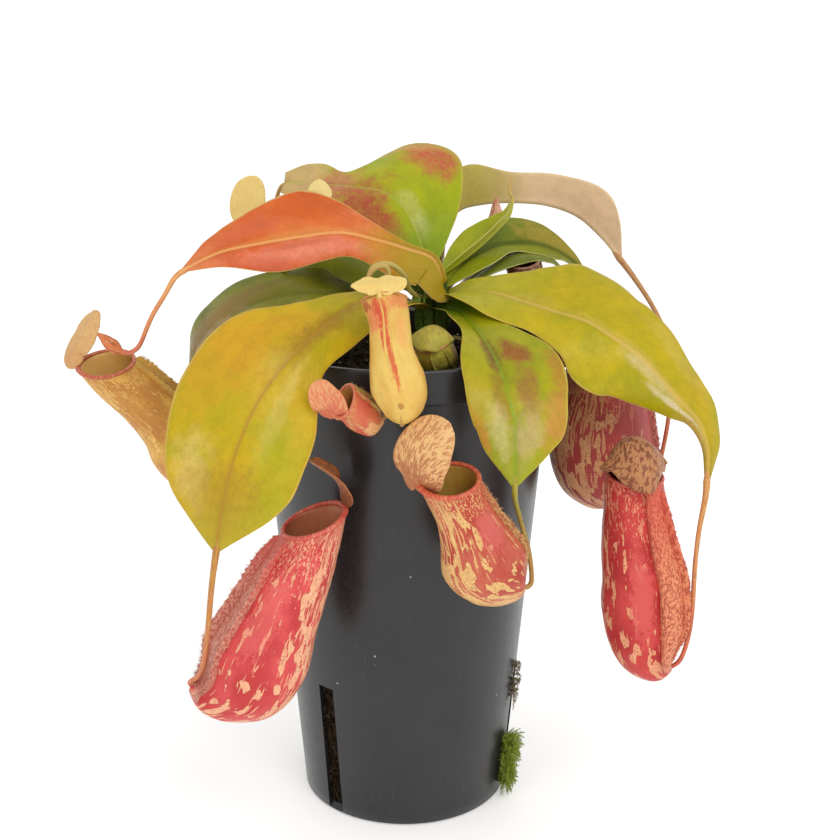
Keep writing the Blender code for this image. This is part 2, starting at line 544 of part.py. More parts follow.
def slot_cutters(parent):
    """Boxes that cut the tall drainage slots through the lower wall."""
    cutters = []
    for i, angle in enumerate(SLOT_ANGLES):
        bpy.ops.mesh.primitive_cube_add(size=1)
        cutter = bpy.context.object
        cutter.name = f"slot_cutter_{i + 1}"
        for owner in list(cutter.users_collection):
            owner.objects.unlink(cutter)
        parent.objects.link(cutter)
        size = Vector((SLOT_WIDTH, CUTTER_DEPTH, SLOT_HEIGHT - SLOT_FOOT)) * MM
        centre = Vector((0, -POT_BASE_RADIUS - CUTTER_REACH, (SLOT_HEIGHT + SLOT_FOOT) / 2)) * MM
        cutter.data.transform(Matrix.Diagonal((*size, 1)))
        cutter.data.transform(Matrix.Translation(centre))
        cutter.rotation_euler[2] = math.radians(angle)
        cutter.hide_render = True
        cutter.display_type = "WIRE"
        cutters.append(cutter)
    return cutters


def add_pot(collection, cutters):
    shoulder = POT_HEIGHT - COLLAR_HEIGHT
    inner_base = POT_BASE_RADIUS - POT_WALL
    profile = [
        (0, POT_FLOOR), (inner_base - FLOOR_FILLET, POT_FLOOR), (inner_base, POT_FLOOR + FLOOR_FILLET),
        (POT_BODY_RADIUS - POT_WALL, shoulder), (COLLAR_RADIUS - RIM_WIDTH, POT_HEIGHT),
        (COLLAR_RADIUS - EDGE, POT_HEIGHT), (COLLAR_RADIUS, POT_HEIGHT - EDGE),
        (COLLAR_RADIUS, shoulder), (POT_BODY_RADIUS, shoulder - 0.4),
        (POT_BASE_RADIUS + 0.1, FOOT_BEVEL), (POT_BASE_RADIUS - FOOT_BEVEL, 0), (0, 0)]
    pot = turned("pot", profile, POT_STEPS, make_material("pot", (0.02, 0.02, 0.022), 0.35), collection)
    for cutter in cutters:
        cut = pot.modifiers.new(cutter.name, "BOOLEAN")
        cut.operation = "DIFFERENCE"
        cut.object = cutter
    return pot


def add_soil(collection):
    inset = POT_WALL + SOIL_GAP
    low = POT_FLOOR + SOIL_GAP
    edge = SOIL_TOP - SOIL_FALL
    base = pot_radius(0) - inset
    profile = [
        (0, SOIL_TOP), (SOIL_FLAT_RADIUS, SOIL_TOP), (SOIL_SHOULDER_RADIUS, SOIL_TOP - 1),
        (pot_radius(edge) - inset, edge), (base, low + SOIL_BEVEL), (base - SOIL_BEVEL, low), (0, low)]
    turned("soil", profile, SOIL_STEPS, make_material("soil", (0.05, 0.03, 0.02), 0.95), collection)


def add_stem(collection):
    heights = np.linspace(SOIL_TOP + GAP, STEM_TOP, 6)
    points = np.array([(STEM_X, STEM_Y, height) for height in heights])
    radii = [stem_radius(height) for height in heights]
    add_tube("stem", points, radii, make_material("stem", (0.35, 0.36, 0.12), 0.6), collection)


def lumpy_ball(name, moss, material, collection):
    """A ball stretched to size, with seeded lumps."""
    shift = Vector((1, 1, 1)) * moss["seed"]
    mesh = bmesh.new()
    bmesh.ops.create_icosphere(mesh, subdivisions=3, radius=1)
    for vert in mesh.verts:
        lump = 1 + moss["lumps"] * noise.noise(vert.co * LUMP_FINENESS + shift)
        reach = [c + s * lump * v for c, s, v in zip(moss["centre"], moss["size"], vert.co)]
        vert.co = Vector(reach) * MM
    data = bpy.data.meshes.new(name)
    mesh.to_mesh(data)
    mesh.free()
    data.shade_smooth()
    return add_object(name, data, material, collection)


def add_moss(collection, cutters_collection):
    """Tufts that grow out of a slot, cut to rest against the outside of the wall."""
    base = pot_radius(0) + GAP
    profile = [(0, WALL_TOP), (pot_radius(WALL_TOP) + GAP, WALL_TOP), (base, 0),
               (base, -WALL_OVERRUN), (0, -WALL_OVERRUN)]
    material = make_material("clearance", (1, 1, 1), 1)
    wall = turned("pot_clearance", profile, POT_STEPS * 2, material, cutters_collection)
    wall.hide_render = True
    wall.display_type = "WIRE"
    for name, moss in MOSS.items():
        material = make_material(name, moss["colour"], 0.9)
        tuft = lumpy_ball(name, moss, material, collection)
        cut = tuft.modifiers.new("Clear of the wall", "BOOLEAN")
        cut.operation = "DIFFERENCE"
        cut.object = wall


def main():
    clear_scene()
    plant = make_collection("potted_pitcher_plant")
    cutters = make_collection("cutters")
    add_pot(plant, slot_cutters(cutters))
    add_soil(plant)
    add_stem(plant)
    add_moss(plant, cutters)
    for name, leaf in LEAVES.items():
        add_leaf(name, leaf, plant)
    for name, pitcher in PITCHERS.items():
        add_pitcher(name, pitcher, plant)
    for name, tendril in TENDRILS.items():
        add_tendril(name, tendril, plant)
    for name, bud in BUDS.items():
        add_bud(name, bud, plant)


main()
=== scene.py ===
"""The looks of the potted pitcher plant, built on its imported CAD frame: finer leaves, pitchers,
lids and tendrils on the same curves, moss, potting mix and pot, with procedural materials.  The
tables are in millimetres.  The origin is the middle of the pot's base, +Z up, -Y the front."""

import math
import random

import bmesh
import bpy
import numpy as np
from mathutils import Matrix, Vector, noise


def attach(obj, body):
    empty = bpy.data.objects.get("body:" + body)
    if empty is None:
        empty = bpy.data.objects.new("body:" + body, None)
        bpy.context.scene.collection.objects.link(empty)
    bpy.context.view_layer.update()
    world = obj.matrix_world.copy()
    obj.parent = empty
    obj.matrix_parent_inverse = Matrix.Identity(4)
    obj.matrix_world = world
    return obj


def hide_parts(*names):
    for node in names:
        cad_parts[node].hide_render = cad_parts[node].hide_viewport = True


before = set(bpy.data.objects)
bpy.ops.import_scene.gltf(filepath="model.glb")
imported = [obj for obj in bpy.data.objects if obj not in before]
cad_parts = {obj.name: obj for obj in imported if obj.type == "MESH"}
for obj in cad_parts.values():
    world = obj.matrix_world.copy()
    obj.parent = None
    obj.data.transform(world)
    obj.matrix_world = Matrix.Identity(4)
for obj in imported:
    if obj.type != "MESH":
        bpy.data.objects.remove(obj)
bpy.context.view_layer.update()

MM = 0.001
GAP = 0.3
BLACK = (0.0, 0.0, 0.0)

# Pot
POT_HEIGHT = 213.5
POT_BASE_RADIUS = 46.2
POT_BODY_RADIUS = 63.4
COLLAR_RADIUS = 65.0
COLLAR_HEIGHT = 14.0
POT_WALL = 1.6
POT_FLOOR = 2.4
RIM_WIDTH = 2.8
FLOOR_FILLET = 1.5
FOOT_BEVEL = 1.2
SLOT_WIDTH = 8.4
SLOT_HEIGHT = 64.0
SLOT_FOOT = 1.2
SLOT_ANGLES = (-42, 78, 198)

# Soil: flat in the middle, lower towards the wall
SOIL_TOP = 202.0
SOIL_GAP = 0.9
SOIL_FLAT_RADIUS = 40.0
SOIL_SHOULDER_RADIUS = 56.0
SOIL_FALL = 4.0

# Stem: the crown stands a little right of the pot's middle
STEM_X = 12.0
STEM_Y = -2.0
STEM_TOP = 244.0
STEM_LOW_RADIUS = 6.0
STEM_TOP_RADIUS = 3.0

LEAF_THICKNESS = 1.0
LID_THICKNESS = 1.0
LID_GAP = 0.45
CUP_WALL = 1.1

# The CAD's own steps along a leaf and a bud, which say where its tendrils start and end, and how
# far a tendril runs straight at its seats
CAD_LEAF_ROWS = 13
BUD_RINGS = 8
TENDRIL_LEAD = 2.5

# How finely the organs are drawn
LEAF_ROWS = 76
LEAF_HALF_COLUMNS = 14
LID_ROWS = 30
LID_HALF_COLUMNS = 12
CUP_ROWS = 46
CUP_STEPS = 56
WING_ROWS = 150
TENDRIL_POINTS = 60
BUD_POINTS = 26
SLOT_COLUMNS = 4
WALL_COLUMNS = 44
SLOT_ROWS = 14
SOIL_COLUMNS = 180
STEM_ROWS = 90
STEM_STEPS = 48

# Leaf relief: broad swells, ruffled edges, a groove over the midrib and a keel under it, and the
# least bend, in radians, that a half is given
LEAF_SWELL = 1.0
LEAF_SWELL_SIZE = 26.0
LEAF_RUFFLE = 0.75
LEAF_RUFFLE_SIZE = 9.0
MIDRIB_GROOVE = 0.45
MIDRIB_KEEL = 0.75
MIDRIB_KEEL_WIDTH = 0.9
LEAF_EDGE_THINNING = 0.55
LEAST_BEND = 0.01

# Pitcher relief: how deep the dents and the creases in the wall are, how wide the dents are and
# how many creases there are.  The hollow starts at this share of the height
CUP_DENTS = 0.35
CUP_DENT_SIZE = 7.0
CUP_CREASES = 0.12
CUP_CREASE_COUNT = 9
CUP_HOLLOW_FROM = 0.25

# The lip's thickness on a narrow mouth, how much it grows with the mouth's radius, the width of
# one of its ribs, how deep the ribs are, and its sides and steps
LIP_THICKNESS = 0.55
LIP_GROWTH = 0.045
LIP_RIB = 0.6
LIP_RIB_DEPTH = 0.03
LIP_SIDES = 12
LIP_RIB_STEPS = 3

# Two wings at this angle from the front, with so many points across, so many hairs per millimetre
# and these shares of their full width from base to mouth
WING_ANGLE = 21
WING_COLUMNS = 5
WING_HAIRS = 2.4
WING_PLACES = (0, 0.1, 0.3, 0.55, 0.85, 1)
WING_SHARES = (0, 0.2, 0.6, 1, 0.9, 0.35)

# A lid's oval, flatter at its sides with a higher first power and blunter at its ends with a
# lower second one.  Its half thickness in the middle and how much less it is at the edge, its
# keel, and the radii of the short stalk at its hinge
LID_SIDE_POWER = 2.3
LID_END_POWER = 0.55
LID_HALF_THICKNESS = 0.45
LID_EDGE_THINNING = 0.2
LID_KEEL = 0.5
LID_KEEL_WIDTH = 0.9
STALK_RADII = (1.1, 1.1, 1.0, 1.0, 0.9, 0.8, 0.7, 0.5)

# A tendril with more points than this coils.  A coil is drawn finer and eased less, so it stays
# as tight as it is given
COIL_PATH = 9
COIL_FINENESS = 3
TENDRIL_EASE = 24
COIL_EASE = 10
TENDRIL_HAIRS = 0.7

# Round ends of tubes, in radii, and how big their lumps are
TUBE_END_REACH = 0.55
TUBE_END_SHARE = 0.75
TUBE_LUMP_SIZE = 3.0

# A hair bends at this share of its length, where it is this share of its radius thick
HAIR_BEND = 0.55
HAIR_TAPER = 0.7
WING_HAIR_RADIUS = 0.07
STUBBLE_RADIUS = 0.06
TENDRIL_HAIR_RADIUS = 0.05

# How far apart the noise of two seeds is read
SEED_STEP = 17.3

# Numbers of a piece's materials
SKIN, INSIDE, LIP, HAIR = range(4)
MIX, WHITE_BIT, FIBRE = range(3)
BARK, SHEATH, GREEN, PALE = range(4)

# The soil's lumps: depth, width and seed of each layer, and the radius where they fade out.  How
# many crumbs lie on the soil and in each slot, and how many rootlets show in a slot
SOIL_LUMPS = ((1.1, 7.0, 5), (0.9, 2.6, 6), (0.45, 1.2, 7))
SOIL_LUMPS_END = 58
SOIL_LUMPS_FADE = 4
TOP_CRUMBS = 1500
SLOT_CRUMBS = 420
SLOT_ROOTLETS = 12
WHITE_SHARE = 0.05
FIBRE_SHARE = 0.25
GROUND_SEED = 11
CRUMB_WAYS = np.array([(1, 0, 0), (-1, 0, 0), (0, 1, 0), (0, -1, 0), (0, 0, 1), (0, 0, -1)])
CRUMB_FACES = [(0, 2, 4), (2, 1, 4), (1, 3, 4), (3, 0, 4), (2, 0, 5), (1, 2, 5), (3, 1, 5), (0, 3, 5)]

# The scars of old leaves wind up the stem: their number, the first one's height over the soil,
# the step up and the turn from one to the next, half their height in millimetres, half their
# width in radians, and their relief
SCARS = 11
SCAR_FIRST = 3
SCAR_STEP = 3.4
SCAR_TURN = 2.4
SCAR_HEIGHT = 1.6
SCAR_WIDTH = 0.55
SCAR_RELIEF = 0.45
BARK_RELIEF = 0.12
BARK_LUMP_SIZE = 2.0

# Sheaths round the crown: compass angle, lower and upper height, and reach from its middle
SHEATHS = ((250, 214, 236, 4.5), (300, 212, 238, 5.0), (210, 210, 234, 5.5),
           (340, 214, 236, 5.0), (30, 212, 240, 5.0), (120, 212, 238, 5.0))

# Moss: how low it may hang, how far apart the leaflets on a shoot are, and the shoot's radius
MOSS_LOWEST = 3.2
FROND_STEP = 0.8
FROND_RADIUS = 0.14
LEAFLET_FACES = [(0, 2, 1), (1, 2, 3), (0, 1, 4), (1, 3, 4), (3, 2, 4), (2, 0, 4)]

# The view of the photo, in metres, degrees and millimetres of lens
CAMERA_PLACE = (0.0, -0.636, 0.366)
CAMERA_DOWN = 16.77
CAMERA_LENS = 64.67
CAMERA_SENSOR = 36.0
CAMERA_SHIFT = 0.0181

# The studio: how bright the world is, the lamp's power, and the white floor
WORLD_STRENGTH = 0.88
LAMP_POWER = 5.5
FLOOR_REACH = 25.0
FLOOR_GLOW = 0.28

# Each leaf starts on the stem at a compass angle (0 = +X, 90 = +Y) and a height.  path is its
# midrib, face the way its upper side looks at even steps from base to tip.  Each half has its
# widths at even steps, how far it lifts (+) or droops (-) at the midrib in degrees, and how much
# further it bends on the way to its edge, both at base, middle and tip.
LEAVES = {
    "leaf_front_left": dict(
        angle=235, height=226,
        path=[(-4, -22, 233), (-20, -40, 235), (-32, -57, 230), (-43, -71, 222), (-55, -81, 208),
              (-63, -88, 192), (-68, -91, 176), (-71, -92, 162), (-73, -92, 149)],
        face=[(-0.1, -0.2, 1), (0.1, -0.7, 0.7), (-0.1, -0.95, 0.3), (-0.2, -1, 0)],
        left=([3, 9, 14, 14, 14, 25, 27, 23, 1.2], [20, -4, -4], [0, -20, -16]),
        right=([3, 7, 7, 14, 28, 32, 30, 23, 1.2], [20, 6, 4], [0, -22, -16])),
    "leaf_red_left": dict(
        angle=300, height=236,
        path=[(16, -15, 239), (12, -17, 249), (1, -20, 254), (-10, -24, 258), (-26, -28, 262),
              (-42, -32, 261), (-58, -36, 259), (-74, -40, 256), (-88, -44, 250)],
        face=[(0.5, -0.8, 0.2), (0.1, -0.8, 0.5), (0, -0.6, 0.8), (-0.1, -0.6, 0.8), (-0.3, -0.5, 0.8)],
        left=([4, 13, 14, 10, 12, 13.5, 8, 1.2], [10, 4, 0], [20, -60, -30]),
        right=([2, 2, 3, 9, 21, 18, 11, 1.2], [20, 14, 6], [10, 6, 0])),
    "leaf_dark_left": dict(
        angle=170, height=224,
        path=[(-12, 1, 228), (-32, 0, 231), (-52, -1, 230), (-68, -3, 225), (-78, -5, 218),
              (-88, -7, 207), (-93, -8, 193)],
        face=[(0, -0.2, 1), (-0.1, -0.3, 1), (-0.5, -0.4, 0.8), (-0.9, -0.3, 0.3)],
        left=([3, 8, 16, 20, 18, 10, 1.2], [10, 4, -10], [0, -20, -30]),
        right=([3, 12, 18, 18, 20, 20, 1.2], [10, 18, 10], [0, -20, -20])),
    "leaf_top": dict(
        angle=115, height=240,
        path=[(7, 10, 251), (3, 16, 260), (-2, 23, 266), (-9, 31, 270), (-20, 39, 271), (-34, 46, 271),
              (-45, 51, 271), (-55, 54, 271)],
        face=[(0.1, -1, 0.4), (0.05, -0.95, 0.45), (0, -0.8, 0.6), (-0.2, -0.5, 0.9), (0.1, -0.8, 0.6)],
        left=([2, 9, 15, 17, 15, 12, 12, 6], [10, 0, 0, 10, 10], [10, 0, 0]),
        right=([2, 13, 26, 36.5, 26, 10, 12, 5], [10, 4, 0], [0, -20, 30])),
    "leaf_back_right": dict(
        angle=65, height=228,
        path=[(16, 16, 240), (18, 34, 252), (24, 46, 260), (36, 54, 262), (52, 59, 262), (67, 62, 260),
              (80, 63, 255), (91, 61, 246), (100, 58, 236)],
        face=[(-0.4, -0.3, 0.8), (-0.1, 0, 1), (0, 0, 1), (0.4, 0, 0.8), (0.8, 0, 0.4)],
        left=([1.5, 5, 9, 12, 11, 13, 10, 1.2], [0, 15, 20], [0, 0, -20]),
        right=([1.5, 6, 14, 19, 14, 15.5, 17, 1.6], [60, 80, 60], [0, 0, 0])),
    "leaf_right": dict(
        angle=340, height=230,
        path=[(25, -10, 234), (37, -18, 235), (48, -24, 233), (61, -30, 230), (76, -35, 226),
              (86, -38, 220), (95, -40, 214), (104, -42, 205), (114, -44, 194), (119, -45, 189),
              (124, -46, 178), (125, -47, 162)],
        face=[(0, 0, 1), (0.1, -0.4, 0.9), (0.3, -0.6, 0.75), (0.5, -0.8, 0.3), (0.5, -0.8, 0.1)],
        left=([5, 12, 28, 26, 19, 12, 1.2], [25, 10, 0], [10, -16, -20]),
        right=([5, 15, 15, 25, 17, 5, 1.2], [10, -15, -60], [0, -20, -40])),
    "leaf_front": dict(
        angle=290, height=226,
        path=[(23, -19, 227), (27, -30, 225), (32, -44, 221), (36, -55, 216), (39, -64, 210),
              (41, -70, 203), (43, -74, 195), (43, -77, 187), (43, -79, 171)],
        face=[(0.2, -0.2, 1), (0.1, -0.6, 0.8), (0, -0.9, 0.4), (0, -1, 0)],
        left=([3, 8, 12, 25, 25, 18, 1.2], [50, -2, -4], [10, -12, -10]),
        right=([3, 7, 8, 15, 17, 14, 1.2], [10, 25, 0], [0, -10, -10])),
    "leaf_channelled": dict(
        angle=35, height=234,
        path=[(26, 8, 243), (32, 12, 246), (39, 18, 248), (47, 24, 248), (56, 30, 247), (65, 34, 244),
              (75, 37, 238), (83, 38, 230)],
        face=[(-0.2, 0, 1), (-0.1, -0.2, 1), (0.2, -0.2, 0.9), (0.5, -0.1, 0.8)],
        left=([3, 7, 13, 13, 9, 1.2], [40, 50, 40], [0, -20, -30]),
        right=([3, 12, 11, 17, 8, 1.2], [-10, 10, 10], [0, -10, -20])),
    "leaf_youngest": dict(
        angle=20, height=240,
        path=[(26, 5, 246), (32, 9, 250), (37, 12, 254), (41, 13, 258), (45, 14, 263), (46, 14, 268)],
        face=[(-0.6, -0.4, 0.6), (-0.5, -0.5, 0.6), (-0.6, -0.4, 0.5)],
        left=([1.5, 8, 10, 6, 1.0], [40, 30, 40], [0, -10, 0]),
        right=([1.5, 5, 5, 4, 1.0], [50, 60, 60], [0, 0, 0])),
    "leaf_lower_right": dict(
        angle=15, height=222,
        path=[(27, 4, 234), (38, 9, 242), (50, 14, 246), (63, 18, 244), (73, 20, 234)],
        face=[(0, 0, 1), (0.1, 0.2, 1), (0.5, 0.2, 0.8), (0.8, 0.2, 0.4)],
        left=([3, 7, 9, 6, 1.2], [20, 0, 0], [0, -20, -20]),
        right=([3, 8, 9, 7, 1.2], [10, -5, -10], [0, -30, -20])),
    "leaf_inner_left": dict(
        angle=150, height=231,
        path=[(4, 2, 236), (-8, 4, 241), (-20, 6, 246), (-32, 8, 249), (-42, 9, 246), (-50, 10, 240)],
        face=[(0, -0.2, 1), (0, -0.5, 0.9), (-0.3, -0.4, 0.8), (-0.7, -0.2, 0.6)],
        left=([7, 11, 13, 12, 8, 1.2], [10, -10, -10], [0, -30, -30]),
        right=([6, 8, 9, 9, 6, 1.2], [10, 0, 0], [0, -20, -20])),
}

# A pitcher's axis runs from its base to its mouth: x, y, z and radius.  plane gives the way its
# rings face at base, middle and mouth, front the side that its two wings are on, and wing how
# far they stand out.  A lid's path starts at the back of the mouth, and face is the way its
# upper side looks.
PITCHERS = {
    "pitcher_front_left": dict(
        front=(-1, -0.35, 0), wing=4.0,
        axis=[(-87, -80, 86, 2.5), (-82.5, -79, 81, 8.5), (-74, -77.5, 80, 13.5), (-65.5, -77, 85, 18),
              (-59, -76, 97, 20.5), (-52, -75, 113, 17.5), (-45, -74, 129, 15), (-40, -73, 142, 13.5),
              (-36, -72, 154, 13.5)],
        plane=[(0.85, 0, -0.3), (0.75, 0, 0.65), (0.42, 0, 0.9), (0.35, 0, 0.93), (-0.3, -0.1, 0.95)],
        lid=dict(path=[(-26, -71, 170), (-37, -73, 180)], face=[(0.67, 0.1, 0.7), (0.67, 0.1, 0.7)])),
    "pitcher_left": dict(
        front=(1, 0.1, 0.3), wing=3.5,
        axis=[(-88, -6, 148, 1.5), (-90, -8, 152, 8), (-94, -11, 159, 12.5), (-98, -14, 169, 14.5),
              (-102.8, -17, 179, 12.7), (-110.8, -20, 189, 11.2), (-119, -22, 198, 11.5),
              (-125, -24, 206, 12)],
        plane=[(-0.6, -0.2, 0.7), (-0.55, -0.2, 0.8), (-0.6, -0.2, 0.75), (-0.6, -0.15, 0.8),
               (-0.1, -0.25, 0.97)],
        lid=dict(path=[(-138.5, -22, 210), (-135, -21, 216.5), (-129.3, -20, 225.6)],
                 face=[(0.6, 0.55, -0.5), (0.6, 0.5, -0.5)])),
    "pitcher_right": dict(
        front=(0.57, -0.82, 0), wing=3.0,
        axis=[(113, -54, 81, 1.5), (110, -53, 82, 8), (106, -52, 86, 13), (103, -51, 94, 16.5),
              (101, -50, 107, 18), (100, -50, 122, 17.5), (97, -50, 137, 15.5), (95, -50, 153, 13),
              (94, -50, 166, 12)],
        plane=[(-1, 0, 0.1), (-0.6, 0.1, 0.8), (-0.1, 0, 1), (-0.15, 0, 1), (0.1, -0.15, 1)],
        lid=dict(path=[(90, -41, 177), (94, -51, 182), (97.3, -62, 176), (97.2, -66.5, 166.4)],
                 face=[(-0.5, 0.7, 0.5), (0, -0.1, 1), (0.3, -0.6, 0.8), (0.4, -0.9, 0.3)])),
    "pitcher_front": dict(
        front=(0.95, 0.2, 0), wing=2.5,
        axis=[(48, -79, 128, 1.5), (46, -79, 128.5, 6), (41, -80, 131, 11.5), (35.5, -81, 135.5, 15.5),
              (30, -82, 143, 17), (26.3, -83, 152.5, 13.6), (23.2, -84, 161, 11.6), (20, -84, 168, 11),
              (17, -84, 175, 12)],
        plane=[(-1, 0, 0.1), (-0.8, 0, 0.6), (-0.5, -0.1, 0.86), (-0.45, -0.1, 0.88),
               (-0.1, -0.27, 0.96)],
        lid=dict(path=[(4.5, -91, 184), (9, -92, 193), (17, -92, 201)],
                 face=[(-0.5, -0.8, 0.4), (-0.5, -0.8, 0.4)])),
    "pitcher_pale": dict(
        front=(0.1, 1, 0.1), wing=1.0,
        axis=[(-1, -78, 197, 1), (-1, -80, 200, 5), (-1, -81, 204, 8.5), (-2, -83, 210, 10.5),
              (-3, -82, 216, 10.5), (-5, -77, 225, 8.5), (-6, -71, 235, 8), (-8, -65, 242, 9)],
        plane=[(0, -0.5, 0.85), (0, -0.2, 1), (-0.1, 0.2, 1), (-0.15, 0.5, 0.85), (-0.1, 0.45, 0.85)],
        lid=dict(path=[(-9.8, -71, 249.2), (-10.4, -67, 250.6)],
                 face=[(0, -0.75, 0.65), (0, -0.5, 0.85)])),
    "pitcher_small_pink": dict(
        front=(0.2, -0.1, 1), wing=1.5,
        axis=[(-8, -75, 197, 1.2), (-11, -75, 195, 4.5), (-14, -75, 197, 6.5), (-18, -76, 200, 7),
              (-21, -77, 203, 6.5), (-23, -77, 205, 7)],
        plane=[(-1, 0, 0), (-0.85, -0.1, 0.5), (-0.8, -0.2, 0.5), (-0.8, -0.4, 0.4)],
        lid=dict(path=[(-28.5, -83, 205), (-31, -85, 211), (-32, -86, 216)],
                 face=[(-0.25, -0.95, 0.2), (-0.2, -0.95, 0.2)])),
    "pitcher_rim": dict(
        front=(0.2, -1, 0), wing=0.8,
        axis=[(20, -36, 207, 1.4), (17, -38, 208, 5), (14, -40, 211, 8), (12, -42, 216, 8.4),
              (11, -44, 220, 7)], plane=[(-0.6, 0, 0.6), (-0.3, -0.1, 0.9), (-0.2, -0.3, 0.9)],
        lid=dict(path=[(11, -38, 225), (10.5, -46, 226.5), (9.5, -53.5, 219)],
                 face=[(0, 0.5, 0.8), (0, -0.2, 1), (0, -0.9, 0.5)])),
    "pitcher_right_rear": dict(
        front=(1, 0.3, 0), wing=3.0,
        axis=[(96, 8, 136, 1.5), (93, 8, 138, 12), (89, 8, 144, 19), (88, 8, 156, 23),
              (87, 9, 171, 22.5), (88, 10, 184, 19.5), (89, 10, 197, 16)],
        plane=[(-1, 0, 0.2), (-0.3, 0, 0.95), (0, 0, 1), (0.1, 0, 1), (0.2, -0.2, 1)],
        lid=dict(path=[(76, 10, 206), (92, 8, 209)], face=[(-0.2, -0.3, 1), (0.2, -0.3, 1)])),
    "pitcher_back_left": dict(
        front=(0.6, 0.6, 0), wing=1.0,
        axis=[(-45, 52, 221, 1.6), (-48, 50, 222, 6), (-52, 47, 227, 8.4), (-57, 44, 237, 8),
              (-62, 41, 247, 6.6), (-66, 39, 257, 7)],
        plane=[(-0.7, 0, 0.4), (-0.5, -0.2, 0.8), (-0.3, -0.2, 0.9)],
        lid=dict(path=[(-69, 38, 268.5), (-66.5, 40, 276)],
                 face=[(-0.35, -0.9, 0.2), (-0.3, -0.85, 0.4)])),
    "pitcher_inner_left": dict(
        front=(0.2, 1, 0), wing=0.8,
        axis=[(-40, 28, 240, 1.4), (-40, 28, 243, 5), (-39, 28, 249, 6.6), (-38, 28, 256, 6),
              (-37, 27, 264, 6)], plane=[(0, 0.2, 0.9), (0, 0.1, 1), (0, 0.1, 1)],
        lid=dict(path=[(-37, 17, 272), (-37, 21, 277)], face=[(0, -0.7, 0.7), (0, -0.2, 1)])),
    "pitcher_brown": dict(
        front=(1, -0.3, 0), wing=0.8,
        axis=[(61, 16, 223, 1.4), (58, 16, 224, 4.8), (55, 16, 227, 6.8), (53, 14, 235, 7.2),
              (51, 12, 243, 7.6)], plane=[(-0.7, 0, 0.5), (-0.2, 0, 1), (-0.1, -0.3, 0.9)], lid=None),
}

# A tendril runs from a leaf's tip, or from the stem at a compass angle and height, through its
# points to a pitcher's base or to its own free end.
TENDRILS = {
    "tendril_front_left": dict(
        leaf="leaf_front_left", pitcher="pitcher_front_left",
        path=[(-75.5, -91.5, 133), (-77.5, -90.5, 116), (-79.5, -88.5, 103), (-83, -85, 91)]),
    "tendril_red_left": dict(
        leaf="leaf_red_left", bud="withered_bud",
        path=[(-95, -46, 241), (-101, -47, 232), (-105, -47, 223), (-108, -45, 217), (-113, -42, 215)]),
    "tendril_dark_left": dict(
        leaf="leaf_dark_left", pitcher="pitcher_left",
        path=[(-82, -7, 176), (-78, -6, 160), (-79, -4, 148), (-84, -5, 144)]),
    "tendril_top": dict(
        leaf="leaf_top", pitcher="pitcher_back_left",
        path=[(-57, 58, 268), (-60, 58, 262), (-58, 62, 248), (-50, 63, 230), (-43, 60, 221)]),
    "tendril_back_right": dict(
        leaf="leaf_back_right", pitcher="pitcher_right_rear",
        path=[(105, 52, 229), (113, 44, 218), (119, 34, 206), (121, 24, 186), (118, 15, 162),
              (113, 11, 142), (106, 9, 130), (99, 8, 131)]),
    "tendril_right": dict(
        leaf="leaf_right", pitcher="pitcher_right",
        path=[(122, -52, 147), (119.5, -58, 128), (119, -61, 110), (118, -60, 96), (116.5, -57, 87)]),
    "tendril_front": dict(
        leaf="leaf_front", pitcher="pitcher_front",
        path=[(43.5, -74, 164), (45.5, -69, 156), (48, -66, 147), (50.5, -68, 138), (51, -73, 131)]),
    "tendril_youngest": dict(leaf="leaf_youngest", path=[(45, 13, 272), (46, 13, 279)]),
    "tendril_channelled": dict(
        leaf="leaf_channelled", path=[(87, 37, 222), (87, 38, 208), (80, 38, 198)]),
    "tendril_pale": dict(
        stem=(245, 231), pitcher="pitcher_pale",
        path=[(2, -26, 238), (-1, -40, 248), (-7, -46, 253), (-13, -49, 252), (-14, -51, 247),
              (-10, -52, 246), (-6, -52, 250), (-8, -54, 254), (-13, -55, 252), (-14, -52, 244),
              (-10, -52, 234), (-4, -57, 224), (0, -67.4, 213), (0, -70, 203), (-1, -74, 196)]),
    "tendril_small_pink": dict(
        stem=(228, 213), pitcher="pitcher_small_pink",
        path=[(-4, -24, 220), (-8, -48, 222), (-9, -67.5, 214), (-7, -70, 204), (-5, -73, 198)]),
    "tendril_rim": dict(
        stem=(285, 212), pitcher="pitcher_rim", path=[(20, -18, 216), (26, -28, 216), (25, -34, 210)]),
    "tendril_inner_left": dict(
        leaf="leaf_inner_left", pitcher="pitcher_inner_left",
        path=[(-54, 15, 240), (-53, 23, 239), (-47, 27, 236)]),
    "tendril_brown": dict(
        leaf="leaf_lower_right", pitcher="pitcher_brown",
        path=[(77, 21, 222), (74, 20, 218), (68, 18, 217)]),
    "tendril_dried": dict(stem=(80, 224), bud="dried_bud", path=[(22, 22, 232), (33, 32, 239)]),
}

# Buds are spindles on the end of a tendril: x, y, z and radius.
BUDS = {
    "withered_bud": dict(
        axis=[(-115, -41, 215.5, 1.2), (-117, -41, 217, 2.4), (-120, -41, 219.5, 2.6),
              (-124, -41, 223, 0.9)]),
    "dried_bud": dict(
        axis=[(38, 36, 245, 1.2), (40, 37, 250, 3.6), (41, 38, 256, 4.0), (41, 39, 262, 2.2),
              (41, 39, 266, 0.8)]),
}

# Moss fills a ball: its centre and its half sizes.
MOSS = {
    "moss_tuft": dict(centre=(46, -17, 17), size=(8.5, 8, 14.2)),
    "moss_strip": dict(centre=(48.5, -15, 56), size=(3.4, 4, 11)),
}

